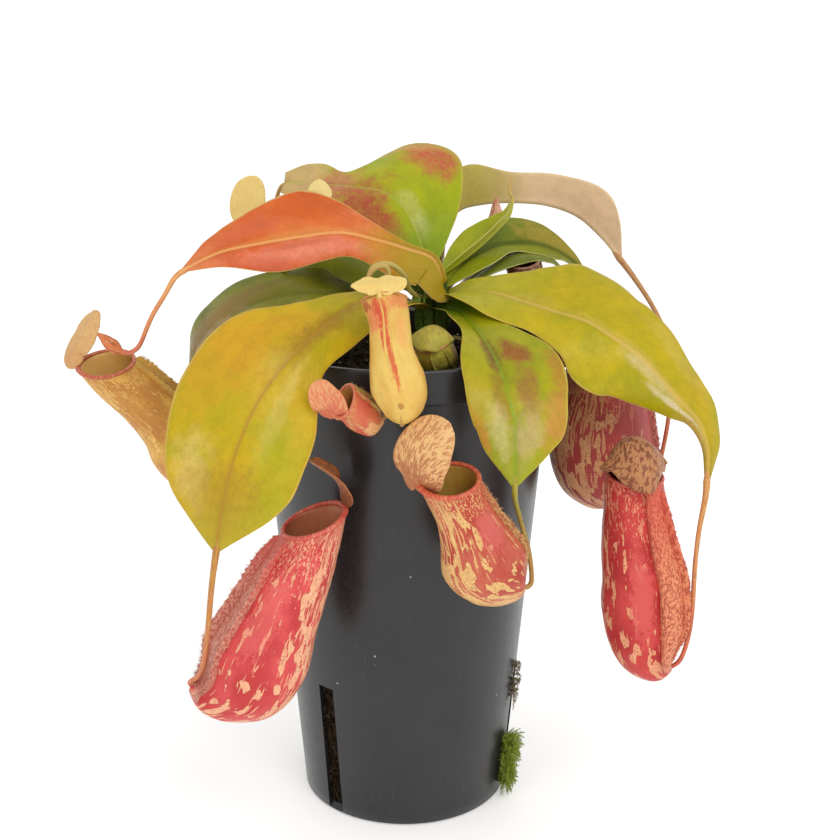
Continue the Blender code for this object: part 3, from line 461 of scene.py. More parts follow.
# A leaf's colours.  main and second mingle in soft clouds, young tints its base and tip the part
# towards its tip.  A spot is (along, across, half length, half width, colour, strength) in shares
# of the leaf, and midrib is (colour, half width in millimetres, strength).  Some spots are painted
# highlights, not marks of the leaf: pale patches where the gloss would catch a soft lamp, marked
# below.  turn, under_turn and tip_turn give the shares of the length between which those tints
# turn into the rest.
LEAF_LOOKS = {
    "leaf_front_left": dict(
        main=(0.56, 0.37, 0.006), second=(0.43, 0.35, 0.004), young=(0.27, 0.22, 0.010),
        tip=(0.46, 0.33, 0.02), edge=(0.72, 0.48, 0.08), under=(0.45, 0.38, 0.10),
        midrib=((0.40, 0.21, 0.02), 0.9, 0.75),
        spots_and_highlights=[(0.60, 0.75, 0.14, 0.5, (0.66, 0.31, 0.02), 0.6),
               (0.50, 0.35, 0.16, 0.4, (0.55, 0.27, 0.012), 0.55),
               # The next two spots are painted highlights: pale gloss where a soft lamp would shine
               (0.84, 0.55, 0.10, 0.35, (0.74, 0.54, 0.18), 0.6),
               (0.66, -0.35, 0.16, 0.16, (0.60, 0.50, 0.12), 0.45),
               (0.40, -0.05, 0.15, 0.3, (0.33, 0.17, 0.012), 0.75),
               (0.80, -0.6, 0.16, 0.4, (0.36, 0.36, 0.004), 0.75),
               (0.88, 0.0, 0.11, 0.7, (0.40, 0.24, 0.015), 0.8),
               (0.62, -0.8, 0.2, 0.25, (0.60, 0.44, 0.03), 0.5)]),
    "leaf_red_left": dict(
        main=(0.60, 0.10, 0.012), second=(0.68, 0.16, 0.035), young=(0.40, 0.27, 0.012),
        tip=(0.70, 0.24, 0.09), edge=(0.72, 0.44, 0.17), under=(0.6, 0.3, 0.12), turn=(0.22, 0.42),
        midrib=((0.80, 0.40, 0.13), 1.0, 0.7),
        spots_and_highlights=[(0.62, 0.05, 0.40, 0.14, (0.72, 0.26, 0.05), 0.6),
               (0.60, -0.55, 0.30, 0.5, (0.76, 0.22, 0.13), 0.85),
               (0.34, 0.0, 0.10, 1.2, (0.56, 0.25, 0.025), 0.8),
               (0.62, -0.30, 0.13, 0.12, (0.56, 0.12, 0.06), 0.7),
               (0.74, -0.8, 0.12, 0.3, (0.60, 0.10, 0.04), 0.7),
               (0.80, 0.5, 0.16, 0.4, (0.64, 0.14, 0.06), 0.7),
               (0.50, 0.75, 0.12, 0.3, (0.52, 0.10, 0.02), 0.7)]),
    "leaf_dark_left": dict(
        main=(0.12, 0.14, 0.003), second=(0.25, 0.25, 0.012), young=(0.07, 0.10, 0.003),
        tip=(0.24, 0.21, 0.02), edge=(0.36, 0.30, 0.08), under=(0.2, 0.2, 0.08),
        midrib=((0.16, 0.20, 0.02), 1.0, 0.3),
        # The next two spots are painted light: a grey-purple sheen and a pale lilac highlight
        spots_and_highlights=[(0.74, 0.35, 0.3, 0.45, (0.34, 0.19, 0.07), 0.8),
               (0.84, -0.1, 0.2, 0.3, (0.50, 0.40, 0.26), 0.8),
               (0.62, 0.75, 0.2, 0.3, (0.22, 0.27, 0.02), 0.5),
               (0.45, 0.1, 0.2, 0.4, (0.20, 0.22, 0.006), 0.7)]),
    "leaf_top": dict(
        main=(0.35, 0.39, 0.003), second=(0.42, 0.42, 0.004), young=(0.22, 0.31, 0.004),
        tip=(0.64, 0.42, 0.20), edge=(0.52, 0.42, 0.06), under=(0.56, 0.42, 0.17), tip_turn=(0.78, 0.88),
        midrib=((0.46, 0.48, 0.08), 0.7, 0.4),
        spots_and_highlights=[(0.60, -0.45, 0.18, 0.75, (0.46, 0.10, 0.045), 1.0),
               (0.42, -0.75, 0.22, 0.58, (0.40, 0.07, 0.022), 1.0),
               (0.25, -0.85, 0.15, 0.5, (0.42, 0.09, 0.03), 0.95),
               (0.75, 0.35, 0.11, 0.7, (0.52, 0.20, 0.10), 0.95),
               (0.80, -0.3, 0.12, 0.6, (0.52, 0.17, 0.09), 0.9),
               (0.44, 0.78, 0.10, 0.32, (0.52, 0.11, 0.05), 1.0),
               (0.54, 0.97, 0.10, 0.16, (0.60, 0.33, 0.12), 0.8),
               # This spot is a painted highlight, a pale patch by the midrib
               (0.17, 0.15, 0.13, 0.22, (0.66, 0.64, 0.28), 0.8),
               (0.26, 0.45, 0.14, 0.25, (0.26, 0.33, 0.003), 0.6),
               # This spot is a painted highlight too, a pale patch by the midrib
               (0.33, 0.1, 0.1, 0.15, (0.58, 0.56, 0.16), 0.5)]),
    "leaf_back_right": dict(
        main=(0.60, 0.41, 0.21), second=(0.55, 0.40, 0.14), young=(0.44, 0.36, 0.06),
        tip=(0.62, 0.36, 0.19), edge=(0.66, 0.50, 0.22), under=(0.84, 0.60, 0.38),
        under_turn=(0.44, 0.70), midrib=((0.50, 0.36, 0.12), 1.2, 0.4),
        spots_and_highlights=[(0.38, 0.4, 0.13, 1.3, (0.42, 0.34, 0.08), 0.95),
               (0.82, 0.35, 0.14, 0.5, (0.66, 0.38, 0.20), 0.7),
               (0.58, -0.4, 0.2, 0.4, (0.56, 0.42, 0.10), 0.6)]),
    "leaf_right": dict(
        main=(0.50, 0.38, 0.004), second=(0.38, 0.33, 0.003), young=(0.42, 0.38, 0.02),
        tip=(0.36, 0.27, 0.01), edge=(0.66, 0.48, 0.08), under=(0.60, 0.42, 0.16),
        midrib=((0.62, 0.40, 0.10), 1.1, 0.6),
        spots_and_highlights=[(0.44, -0.5, 0.2, 0.5, (0.50, 0.36, 0.004), 0.6),
               # The next two spots are painted highlights: pale lavender gloss near the midrib
               (0.66, 0.10, 0.12, 0.16, (0.70, 0.54, 0.28), 0.6),
               (0.78, 0.32, 0.12, 0.14, (0.76, 0.64, 0.40), 0.85),
               (0.60, -0.05, 0.3, 0.10, (0.58, 0.42, 0.06), 0.5),
               (0.70, -0.75, 0.16, 0.25, (0.56, 0.42, 0.08), 0.5),
               (0.24, -0.05, 0.1, 0.22, (0.52, 0.38, 0.06), 0.6),
               (0.40, 0.75, 0.2, 0.4, (0.52, 0.40, 0.01), 0.5),
               (0.80, -0.4, 0.12, 0.5, (0.54, 0.34, 0.02), 0.5),
               (0.90, 0.7, 0.12, 0.5, (0.62, 0.40, 0.13), 0.8)]),
    "leaf_front": dict(
        main=(0.39, 0.35, 0.003), second=(0.30, 0.31, 0.003), young=(0.06, 0.11, 0.002),
        tip=(0.34, 0.38, 0.03), edge=(0.62, 0.46, 0.07), under=(0.4, 0.38, 0.08),
        midrib=((0.20, 0.33, 0.006), 1.0, 0.55),
        spots_and_highlights=[(0.49, -0.34, 0.075, 0.26, (0.30, 0.075, 0.02), 0.95),
               (0.45, 0.12, 0.16, 0.22, (0.17, 0.07, 0.012), 0.9),
               (0.66, -0.32, 0.13, 0.22, (0.33, 0.13, 0.03), 0.8),
               (0.68, 0.22, 0.12, 0.2, (0.30, 0.15, 0.02), 0.7),
               (0.78, -0.80, 0.10, 0.3, (0.56, 0.23, 0.05), 0.8),
               (0.60, -0.92, 0.12, 0.2, (0.46, 0.17, 0.03), 0.7),
               (0.78, 0.9, 0.12, 0.2, (0.54, 0.18, 0.03), 0.8),
               # This spot is a painted highlight, pale gloss near the tip
               (0.84, -0.25, 0.10, 0.4, (0.56, 0.40, 0.17), 0.75),
               (0.66, 0.75, 0.14, 0.35, (0.46, 0.34, 0.02), 0.7),
               # This spot is a painted highlight too, pale gloss near the tip
               (0.80, 0.42, 0.12, 0.3, (0.60, 0.50, 0.20), 0.7)]),
    "leaf_channelled": dict(
        main=(0.19, 0.22, 0.003), second=(0.13, 0.17, 0.003), young=(0.28, 0.31, 0.01),
        tip=(0.34, 0.25, 0.03), edge=(0.50, 0.46, 0.12), under=(0.22, 0.24, 0.05),
        midrib=((0.06, 0.09, 0.002), 2.6, 0.7),
        spots_and_highlights=[(0.40, 0.6, 0.3, 0.4, (0.28, 0.31, 0.006), 0.7),
               (0.75, -0.5, 0.25, 0.7, (0.36, 0.26, 0.03), 0.9)]),
    "leaf_youngest": dict(
        main=(0.36, 0.37, 0.01), second=(0.30, 0.33, 0.008), young=(0.28, 0.32, 0.012),
        tip=(0.60, 0.50, 0.12), edge=(0.60, 0.54, 0.16), under=(0.34, 0.34, 0.05),
        midrib=((0.45, 0.44, 0.06), 0.6, 0.4), spots_and_highlights=[]),
    "leaf_lower_right": dict(
        main=(0.13, 0.16, 0.01), second=(0.18, 0.20, 0.02), young=(0.08, 0.10, 0.01),
        tip=(0.24, 0.24, 0.04), edge=(0.50, 0.48, 0.16), under=(0.16, 0.19, 0.03),
        midrib=((0.46, 0.46, 0.20), 1.6, 0.8), spots_and_highlights=[]),
    "leaf_inner_left": dict(
        main=(0.11, 0.14, 0.006), second=(0.17, 0.20, 0.01), young=(0.06, 0.08, 0.004),
        tip=(0.16, 0.18, 0.02), edge=(0.26, 0.26, 0.06), under=(0.12, 0.15, 0.03),
        midrib=((0.16, 0.20, 0.03), 0.9, 0.4), spots_and_highlights=[]),
}

# A pitcher's colours.  cream patches break up the skin, more of them towards its back and its
# base as share and low grow.  back and net bring out the stripes down the back and the marks
# below the mouth, lace a dark net all over.  rim is how thick the lip is, and panel the colour
# between the wings.  Spots are as on a leaf, across from -1 to 1 with 0 at the wings; two of
# them, marked below, are painted highlights where the lamp would shine on the skin.
PITCHER_LOOKS = {
    "pitcher_front_left": dict(
        skin=(0.68, 0.085, 0.085), deep=(0.52, 0.045, 0.045), cream=(0.87, 0.47, 0.27), share=0.15,
        low=0.1, back=0.07, net=0.03, rim=0.8, panel=(0.66, 0.32, 0.23), lip=(0.60, 0.085, 0.06),
        inside=(0.50, 0.19, 0.09), hair=(0.72, 0.45, 0.36),
        # The spot is a pink blush with a painted highlight laid into it
        spots_and_highlights=[(0.66, 0.28, 0.15, 0.14, (0.78, 0.155, 0.14), 0.5)]),
    "pitcher_left": dict(
        lace=0.42, skin=(0.74, 0.43, 0.085), deep=(0.56, 0.25, 0.06), cream=(0.88, 0.58, 0.17),
        share=0.04, low=0.02, back=0.0, net=0.0, rim=0.75, panel=(0.52, 0.34, 0.08),
        lip=(0.47, 0.07, 0.045), inside=(0.72, 0.45, 0.13), hair=(0.55, 0.36, 0.14),
        spots_and_highlights=[(0.2, -0.6, 0.2, 0.5, (0.80, 0.36, 0.20), 0.7),
               (0.6, 0.5, 0.3, 0.16, (0.46, 0.17, 0.035), 0.5),
               (0.7, -0.5, 0.3, 0.16, (0.46, 0.17, 0.035), 0.4),
               (0.45, 0.2, 0.2, 0.1, (0.58, 0.20, 0.04), 0.6)]),
    "pitcher_right": dict(
        skin=(0.58, 0.055, 0.05), deep=(0.45, 0.03, 0.03), cream=(0.80, 0.36, 0.19), share=0.11,
        low=0.09, back=0.08, net=0.0, rim=0.75, panel=(0.78, 0.30, 0.15), lip=(0.55, 0.09, 0.06),
        inside=(0.45, 0.16, 0.08), hair=(0.70, 0.25, 0.20),
        spots_and_highlights=[(0.6, -0.25, 0.2, 0.1, (0.66, 0.10, 0.09), 0.9)]),
    "pitcher_front": dict(
        skin=(0.54, 0.12, 0.075), deep=(0.44, 0.055, 0.035), cream=(0.78, 0.50, 0.19), share=0.15,
        low=0.05, back=0.05, net=0.03, rim=0.95, panel=(0.55, 0.36, 0.13), lip=(0.58, 0.085, 0.04),
        inside=(0.42, 0.27, 0.045), hair=(0.60, 0.42, 0.22),
        # The spot is a painted highlight, a lighter patch where the lamp would shine
        spots_and_highlights=[(0.66, -0.35, 0.12, 0.16, (0.62, 0.13, 0.11), 0.8)]),
    "pitcher_pale": dict(
        lace=0.05, skin=(0.76, 0.52, 0.13), deep=(0.66, 0.38, 0.08), cream=(0.80, 0.60, 0.21),
        share=-0.05, low=0.0, back=-0.2, net=-0.2, rim=0.5, panel=(0.70, 0.50, 0.16),
        lip=(0.55, 0.20, 0.06), inside=(0.60, 0.42, 0.10), hair=(0.60, 0.42, 0.22),
        spots_and_highlights=[(0.88, 0.84, 0.12, 0.20, (0.72, 0.20, 0.08), 0.85),
               (0.90, 0.95, 0.10, 0.13, (0.60, 0.075, 0.035), 0.9),
               (0.78, 0.985, 0.12, 0.075, (0.62, 0.08, 0.04), 0.9),
               (0.66, -0.965, 0.13, 0.045, (0.62, 0.09, 0.04), 0.85),
               (0.55, -0.95, 0.10, 0.025, (0.62, 0.11, 0.04), 0.8),
               (0.95, 0.70, 0.05, 0.12, (0.40, 0.10, 0.03), 0.8),
               (0.95, -0.7, 0.05, 0.35, (0.68, 0.20, 0.07), 0.8),
               (0.78, -0.75, 0.10, 0.12, (0.78, 0.36, 0.12), 0.6),
               (0.17, -0.99, 0.14, 0.014, (0.36, 0.13, 0.03), 0.8),
               (0.37, -0.96, 0.03, 0.05, (0.42, 0.16, 0.04), 0.8),
               (0.12, 0.6, 0.10, 0.3, (0.74, 0.42, 0.14), 0.6)]),
    "pitcher_small_pink": dict(
        lace=0.22, skin=(0.60, 0.26, 0.09), deep=(0.60, 0.11, 0.07), cream=(0.74, 0.42, 0.17),
        share=0.06, low=0.15, back=-0.05, net=0.0, rim=0.7, panel=(0.42, 0.36, 0.09),
        lip=(0.62, 0.15, 0.08), inside=(0.42, 0.22, 0.04), hair=(0.55, 0.50, 0.25),
        spots_and_highlights=[(0.75, 0.3, 0.2, 0.3, (0.66, 0.09, 0.07), 0.7)]),
    "pitcher_rim": dict(
        lace=0.2, skin=(0.44, 0.40, 0.035), deep=(0.36, 0.24, 0.03), cream=(0.56, 0.50, 0.08),
        share=0.03, low=0.04, back=-0.05, net=-0.1, rim=0.7, panel=(0.40, 0.36, 0.06),
        lip=(0.42, 0.15, 0.06), inside=(0.12, 0.06, 0.01), hair=(0.40, 0.34, 0.16),
        spots_and_highlights=[(0.5, 0.45, 0.5, 0.25, (0.22, 0.08, 0.03), 0.8)]),
    "pitcher_right_rear": dict(
        skin=(0.44, 0.068, 0.06), deep=(0.34, 0.045, 0.045), cream=(0.70, 0.36, 0.17), share=0.12,
        low=0.09, back=0.03, net=0.02, rim=0.9, panel=(0.56, 0.22, 0.17), lip=(0.30, 0.05, 0.05),
        inside=(0.35, 0.14, 0.06), hair=(0.60, 0.28, 0.24),
        spots_and_highlights=[(0.8, -0.4, 0.2, 0.2, (0.36, 0.07, 0.07), 0.7)]),
    "pitcher_back_left": dict(
        lace=0.15, skin=(0.60, 0.46, 0.12), deep=(0.46, 0.26, 0.06), cream=(0.70, 0.56, 0.18),
        share=0.02, low=0.03, back=-0.1, net=-0.1, rim=0.8, panel=(0.55, 0.42, 0.12),
        lip=(0.40, 0.14, 0.06), inside=(0.50, 0.40, 0.10), hair=(0.5, 0.4, 0.2), spots_and_highlights=[]),
    "pitcher_inner_left": dict(
        skin=(0.60, 0.48, 0.12), deep=(0.42, 0.28, 0.06), cream=(0.70, 0.56, 0.18), share=0.02, low=0.03,
        back=-0.1, net=-0.1, rim=0.8, panel=(0.55, 0.42, 0.12), lip=(0.50, 0.22, 0.08),
        inside=(0.50, 0.40, 0.10), hair=(0.5, 0.4, 0.2), spots_and_highlights=[]),
    "pitcher_brown": dict(
        skin=(0.26, 0.12, 0.06), deep=(0.16, 0.06, 0.03), cream=(0.60, 0.42, 0.26), share=0.05, low=0.05,
        back=0.0, net=0.0, rim=0.8, panel=(0.30, 0.18, 0.09), lip=(0.22, 0.08, 0.04),
        inside=(0.16, 0.07, 0.03), hair=(0.4, 0.26, 0.14), spots_and_highlights=[]),
}

# A lid: half width at its widest, how far its base lobes reach back past its hinge, how much its
# edges cup up in degrees, and its colours, with amount for how strong the streaks are.  neck and
# blunt are the shares of its oval that are cut off at the base and at the end.  round pushes the
# middle of the end out, and tip the two sides of it.
LID_LOOKS = {
    "lid_front_left": dict(
        neck=0.02, width=8.6, lobe=1.5, cup=12, base=(0.50, 0.19, 0.07), streak=(0.15, 0.025, 0.01),
        under=(0.48, 0.18, 0.07), amount=0.9),
    "lid_left": dict(
        neck=0.01, blunt=0.09, round=2.6, width=8.6, lobe=0.0, cup=4, base=(0.84, 0.52, 0.20),
        streak=(0.50, 0.17, 0.06), under=(0.72, 0.46, 0.18), amount=0.5),
    "lid_right": dict(
        blunt=0.05, round=2.8, width=17, lobe=3.0, cup=-46, base=(0.50, 0.22, 0.09),
        streak=(0.13, 0.02, 0.01), under=(0.5, 0.2, 0.1), amount=1.0),
    "lid_front": dict(
        neck=0.15, width=12.8, lobe=5.0, cup=-6, base=(0.78, 0.48, 0.20), streak=(0.37, 0.075, 0.03),
        under=(0.70, 0.42, 0.18), amount=0.8),
    "lid_pale": dict(
        blunt=0.16, tip=2.6, width=10.8, lobe=1.2, cup=0, base=(0.82, 0.64, 0.20),
        streak=(0.62, 0.30, 0.08), under=(0.72, 0.56, 0.18), amount=0.3),
    "lid_small_pink": dict(
        blunt=0.02, width=6.8, lobe=1.5, cup=6, base=(0.72, 0.36, 0.15), streak=(0.62, 0.10, 0.07),
        under=(0.66, 0.34, 0.16), amount=0.8),
    "lid_rim": dict(
        width=9.5, lobe=1.5, cup=-36, base=(0.44, 0.40, 0.05), streak=(0.26, 0.11, 0.03),
        under=(0.36, 0.26, 0.06), amount=0.5),
    "lid_right_rear": dict(
        width=13.0, lobe=3.0, cup=-8, base=(0.52, 0.22, 0.13), streak=(0.24, 0.05, 0.04),
        under=(0.4, 0.16, 0.1), amount=0.8),
    "lid_back_left": dict(
        width=8.6, lobe=1.5, cup=8, base=(0.80, 0.60, 0.20), streak=(0.52, 0.30, 0.08),
        under=(0.70, 0.52, 0.18), amount=0.3),
    "lid_inner_left": dict(
        width=5.5, lobe=1.0, cup=-14, base=(0.82, 0.66, 0.26), streak=(0.6, 0.4, 0.12),
        under=(0.7, 0.56, 0.2), amount=0.2),
}

# A tendril's colour at its leaf and at its far end, and its radius at both ends.
TENDRIL_LOOKS = {
    "tendril_front_left": ((0.50, 0.24, 0.04), (0.62, 0.20, 0.09), 1.7, 1.1),
    "tendril_red_left": ((0.74, 0.34, 0.12), (0.58, 0.15, 0.07), 1.7, 0.95),
    "tendril_dark_left": ((0.40, 0.32, 0.08), (0.56, 0.30, 0.09), 1.3, 1.1),
    "tendril_top": ((0.50, 0.30, 0.09), (0.56, 0.36, 0.10), 1.0, 0.9),
    "tendril_back_right": ((0.50, 0.26, 0.10), (0.52, 0.12, 0.07), 1.8, 1.0),
    "tendril_right": ((0.62, 0.30, 0.10), (0.60, 0.14, 0.07), 1.9, 1.0),
    "tendril_front": ((0.36, 0.32, 0.03), (0.44, 0.24, 0.06), 1.6, 1.0),
    "tendril_youngest": ((0.52, 0.44, 0.08), (0.50, 0.30, 0.08), 0.9, 0.7),
    "tendril_channelled": ((0.40, 0.30, 0.05), (0.44, 0.22, 0.08), 1.1, 0.8),
    "tendril_pale": ((0.42, 0.36, 0.08), (0.66, 0.40, 0.13), 1.1, 1.1),
    "tendril_small_pink": ((0.40, 0.34, 0.07), (0.55, 0.26, 0.10), 1.0, 1.0),
    "tendril_rim": ((0.30, 0.28, 0.04), (0.34, 0.22, 0.05), 1.0, 0.9),
    "tendril_inner_left": ((0.30, 0.26, 0.06), (0.50, 0.36, 0.10), 1.0, 0.9),
    "tendril_brown": ((0.28, 0.24, 0.06), (0.30, 0.14, 0.06), 1.0, 0.9),
    "tendril_dried": ((0.30, 0.16, 0.07), (0.34, 0.16, 0.10), 1.0, 0.9),
}

# A bud's two colours, in pleats.
BUD_LOOKS = {
    "withered_bud": ((0.66, 0.20, 0.07), (0.40, 0.10, 0.03)),
    "dried_bud": ((0.50, 0.18, 0.10), (0.62, 0.34, 0.22)),
}

# Moss: how many shoots it has, how long their leaflets are, and its two materials.
MOSS_LOOKS = {
    "moss_tuft": (190, 1.9, ("moss_green", (0.36, 0.43, 0.06), (0.17, 0.25, 0.02)),
                  ("moss_light", (0.42, 0.46, 0.12), (0.22, 0.30, 0.04))),
    "moss_strip": (34, 1.3, ("moss_dry", (0.34, 0.28, 0.17), (0.17, 0.14, 0.08)),
                   ("moss_olive", (0.20, 0.20, 0.09), (0.10, 0.10, 0.04))),
}


# ---------------------------------------------------------------- curves and surfaces

def unit(vectors):
    vectors = np.asarray(vectors, float)
    return vectors / np.maximum(np.linalg.norm(vectors, axis=-1, keepdims=True), 1e-9)


def hermite(values, knots, at):
    """A smooth curve through values at knots, read at the places `at`."""
    slopes = np.gradient(values, knots, axis=0)
    steps = np.diff(knots)
    i = np.clip(np.searchsorted(knots, at, side="right") - 1, 0, len(steps) - 1)
    u = ((at - knots[i]) / steps[i])[:, None]
    h = steps[i][:, None]
    return (values[i] * (2 * u**3 - 3 * u**2 + 1) + slopes[i] * h * (u**3 - 2 * u**2 + u)
            + values[i + 1] * (3 * u**2 - 2 * u**3) + slopes[i + 1] * h * (u**3 - u**2))


def path_knots(points):
    """How far along a path each of its points is."""
    lengths = np.linalg.norm(np.diff(points[:, :3], axis=0), axis=1)
    return np.concatenate([[0.0], np.cumsum(lengths)])


def smooth_path(points, count):
    """Points at even steps along a smooth curve."""
    points = np.array(points, float)
    knots = path_knots(points)
    return hermite(points, knots, np.linspace(0, knots[-1], count))


def along(values, count):
    """Values given at even steps, read smoothly at `count` even steps."""
    values = np.array(values, float)
    values = values.reshape(len(values), -1)
    return hermite(values, np.linspace(0, 1, len(values)), np.linspace(0, 1, count))


def stem_radius(height):
    share = (height - SOIL_TOP) / (STEM_TOP - SOIL_TOP)
    return STEM_LOW_RADIUS + share * (STEM_TOP_RADIUS - STEM_LOW_RADIUS)


def stem_seat(angle, height):
    """The point just clear of the stem at a compass angle and a height."""
    reach = stem_radius(height) + 2 * GAP
    turn = math.radians(angle)
    return np.array([STEM_X + reach * math.cos(turn), STEM_Y + reach * math.sin(turn), height])


def pot_radius(height):
    """The outer radius of the pot's tapered wall below its collar."""
    share = height / (POT_HEIGHT - COLLAR_HEIGHT)
    return POT_BASE_RADIUS + share * (POT_BODY_RADIUS - POT_BASE_RADIUS)


def wander(points, size, seed):
    """Smooth noise from about -1 to 1 at each point, with lumps of about that size."""
    flat = np.asarray(points, float).reshape(-1, 3) / size + seed * SEED_STEP
    return np.array([noise.noise(Vector(p)) for p in flat]).reshape(np.shape(points)[:-1])


def normals_of(grid):
    """The way each point of a grid faces."""
    return unit(np.cross(np.gradient(grid, axis=1), np.gradient(grid, axis=0)))


def fields(grid, first=0.0, second=0.0, third=0.0):
    """Three values for each point of a grid."""
    result = np.zeros(grid.shape)
    for i, values in enumerate((first, second, third)):
        result[..., i] = values
    return result


def circle(steps):
    """Angles at even steps round a circle, and the directions that they point in."""
    turn = np.linspace(0, math.tau, steps, endpoint=False)
    return turn, np.stack([np.cos(turn), np.sin(turn), 0 * turn], axis=-1)


def level(turn):
    """The level direction at an angle in radians."""
    return np.array([math.cos(turn), math.sin(turn), 0])


class Shape:
    """Collects pieces of surface into one mesh.  Each point keeps its `place` (shares of its
    organ's length and width, and which side it is on) and its `span` (millimetres)."""

    def __init__(self):
        self.points = []
        self.places = []
        self.spans = []
        self.faces = []
        self.slots = []
        self.count = 0

    def add(self, points, places, spans, faces, slot=0):
        """slot is the material's number, or a list with one number for each face."""
        points, places, spans = (np.asarray(part, float).reshape(-1, 3)
                                 for part in (points, places, spans))
        self.points.append(points)
        self.places.append(np.broadcast_to(places, points.shape))
        self.spans.append(np.broadcast_to(spans, points.shape))
        self.faces += [tuple(corner + self.count for corner in face) for face in faces]
        self.slots += slot if isinstance(slot, list) else [slot] * len(faces)
        self.count += len(points)

    def make(self, name, materials):
        """The finished piece.  It stands for the CAD node of that name."""
        data = bpy.data.meshes.new(name)
        data.from_pydata(np.concatenate(self.points) * MM, [], self.faces)
        for key, values in (("place", self.places), ("span", self.spans)):
            field = data.attributes.new(key, "FLOAT_VECTOR", "POINT")
            field.data.foreach_set("vector", np.concatenate(values).astype(np.float32).ravel())
        for material in materials:
            data.materials.append(material)
        data.polygons.foreach_set("material_index", self.slots)
        outward = bmesh.new()
        outward.from_mesh(data)
        bmesh.ops.recalc_face_normals(outward, faces=outward.faces)
        outward.to_mesh(data)
        outward.free()
        data.shade_smooth()
        piece = bpy.data.objects.new("visual_" + name, data)
        bpy.context.scene.collection.objects.link(piece)
        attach(piece, "root")
        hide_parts(name)
        return piece


def grid_faces(rows, columns, wrap=False):
    faces = []
    for i in range(rows - 1):
        for j in range(columns if wrap else columns - 1):
            k = (j + 1) % columns
            first = i * columns
            faces.append((first + j, first + k, first + columns + k, first + columns + j))
    return faces


def end_faces(rows, columns):
    """One face over each end of a wrapped grid."""
    last = (rows - 1) * columns
    return [tuple(reversed(range(columns))), tuple(range(last, last + columns))]


def closed_faces(rows, columns):
    """A wrapped grid with both of its ends closed."""
    return grid_faces(rows, columns, wrap=True) + end_faces(rows, columns)


def add_sheet(shape, upper, lower, place, span, slot=0):
    """A closed thin sheet between two grids of points, with a strip around its edge."""
    rows, columns = upper.shape[:2]
    count = rows * columns
    ring = [*range(columns), *(i * columns + columns - 1 for i in range(1, rows)),
            *((rows - 1) * columns + j for j in range(columns - 2, -1, -1)),
            *(i * columns for i in range(rows - 2, 0, -1))]
    above = grid_faces(rows, columns)
    below = [tuple(reversed([i + count for i in face])) for face in above]
    edge = [(a, b, b + count, a + count) for a, b in zip(ring, ring[1:] + ring[:1])]
    both = np.concatenate([place, place])
    both[:rows, :, 2] = 1
    both[rows:, :, 2] = -1
    shape.add(np.concatenate([upper, lower]), both, np.concatenate([span, span]),
              above + below + edge, slot)


def frames_along(path):
    """Two directions across a path that turn as little as they can along it."""
    tangent = unit(np.gradient(path, axis=0))
    first = np.zeros_like(path)
    lean = np.array([0.0, 0.0, 1.0]) if abs(tangent[0][2]) < 0.9 else np.array([1.0, 0.0, 0.0])
    side = unit(np.cross(tangent[0], lean))
    for i, heading in enumerate(tangent):
        side = unit(side - heading * (side @ heading))
        first[i] = side
    return first, np.cross(tangent, first)


def add_tube(shape, path, radii, sides, slot=0, lumps=0.0, seed=0):
    """A tube with rounded ends."""
    path = np.asarray(path, float)
    radii = np.broadcast_to(np.asarray(radii, float), (len(path),))
    heading = unit(np.gradient(path, axis=0))
    before = path[0] - heading[0] * radii[0] * TUBE_END_REACH
    after = path[-1] + heading[-1] * radii[-1] * TUBE_END_REACH
    path = np.concatenate([[before], path, [after]])
    radii = np.concatenate([[radii[0] * TUBE_END_SHARE], radii, [radii[-1] * TUBE_END_SHARE]])
    first, second = frames_along(path)
    turn, ways = circle(sides)
    ring = first[:, None] * ways[:, :1] + second[:, None] * ways[:, 1:2]
    points = path[:, None] + radii[:, None, None] * ring
    if lumps:
        points = points + ring * (lumps * wander(points, TUBE_LUMP_SIZE, seed))[..., None]
    length = path_knots(path)[:, None]
    wide = radii.mean()
    shape.add(points, fields(points, length / length[-1], turn / math.pi - 1),
              fields(points, wide * np.cos(turn), wide * np.sin(turn), length),
              closed_faces(len(path), sides), slot)


def add_hair(shape, root, heading, length, radius, slot, droop):
    """A fine tapering bent hair with three sides."""
    heading = unit(heading)
    across = unit(np.cross(heading, (0.31, 0.57, 0.76)))
    other = np.cross(heading, across)
    turn = np.array([0.0, math.tau / 3, 2 * math.tau / 3])
    ring = np.cos(turn)[:, None] * across + np.sin(turn)[:, None] * other
    middle = root + heading * length * HAIR_BEND
    tip = root + heading * length + np.array([0, 0, -droop]) * length
    points = np.concatenate([root + ring * radius,
                             middle + ring * radius * HAIR_TAPER, [tip]])
    faces = [(0, 2, 1), (0, 1, 4, 3), (1, 2, 5, 4), (2, 0, 3, 5), (3, 4, 6), (4, 5, 6), (5, 3, 6)]
    shape.add(points, (0.5, 0.5, 0), (0, 0, length), faces, slot)


def scattered(rng, most):
    """A random step of up to `most` each way."""
    return np.array([rng.uniform(-most, most) for _ in range(3)])


# ---------------------------------------------------------------- materials

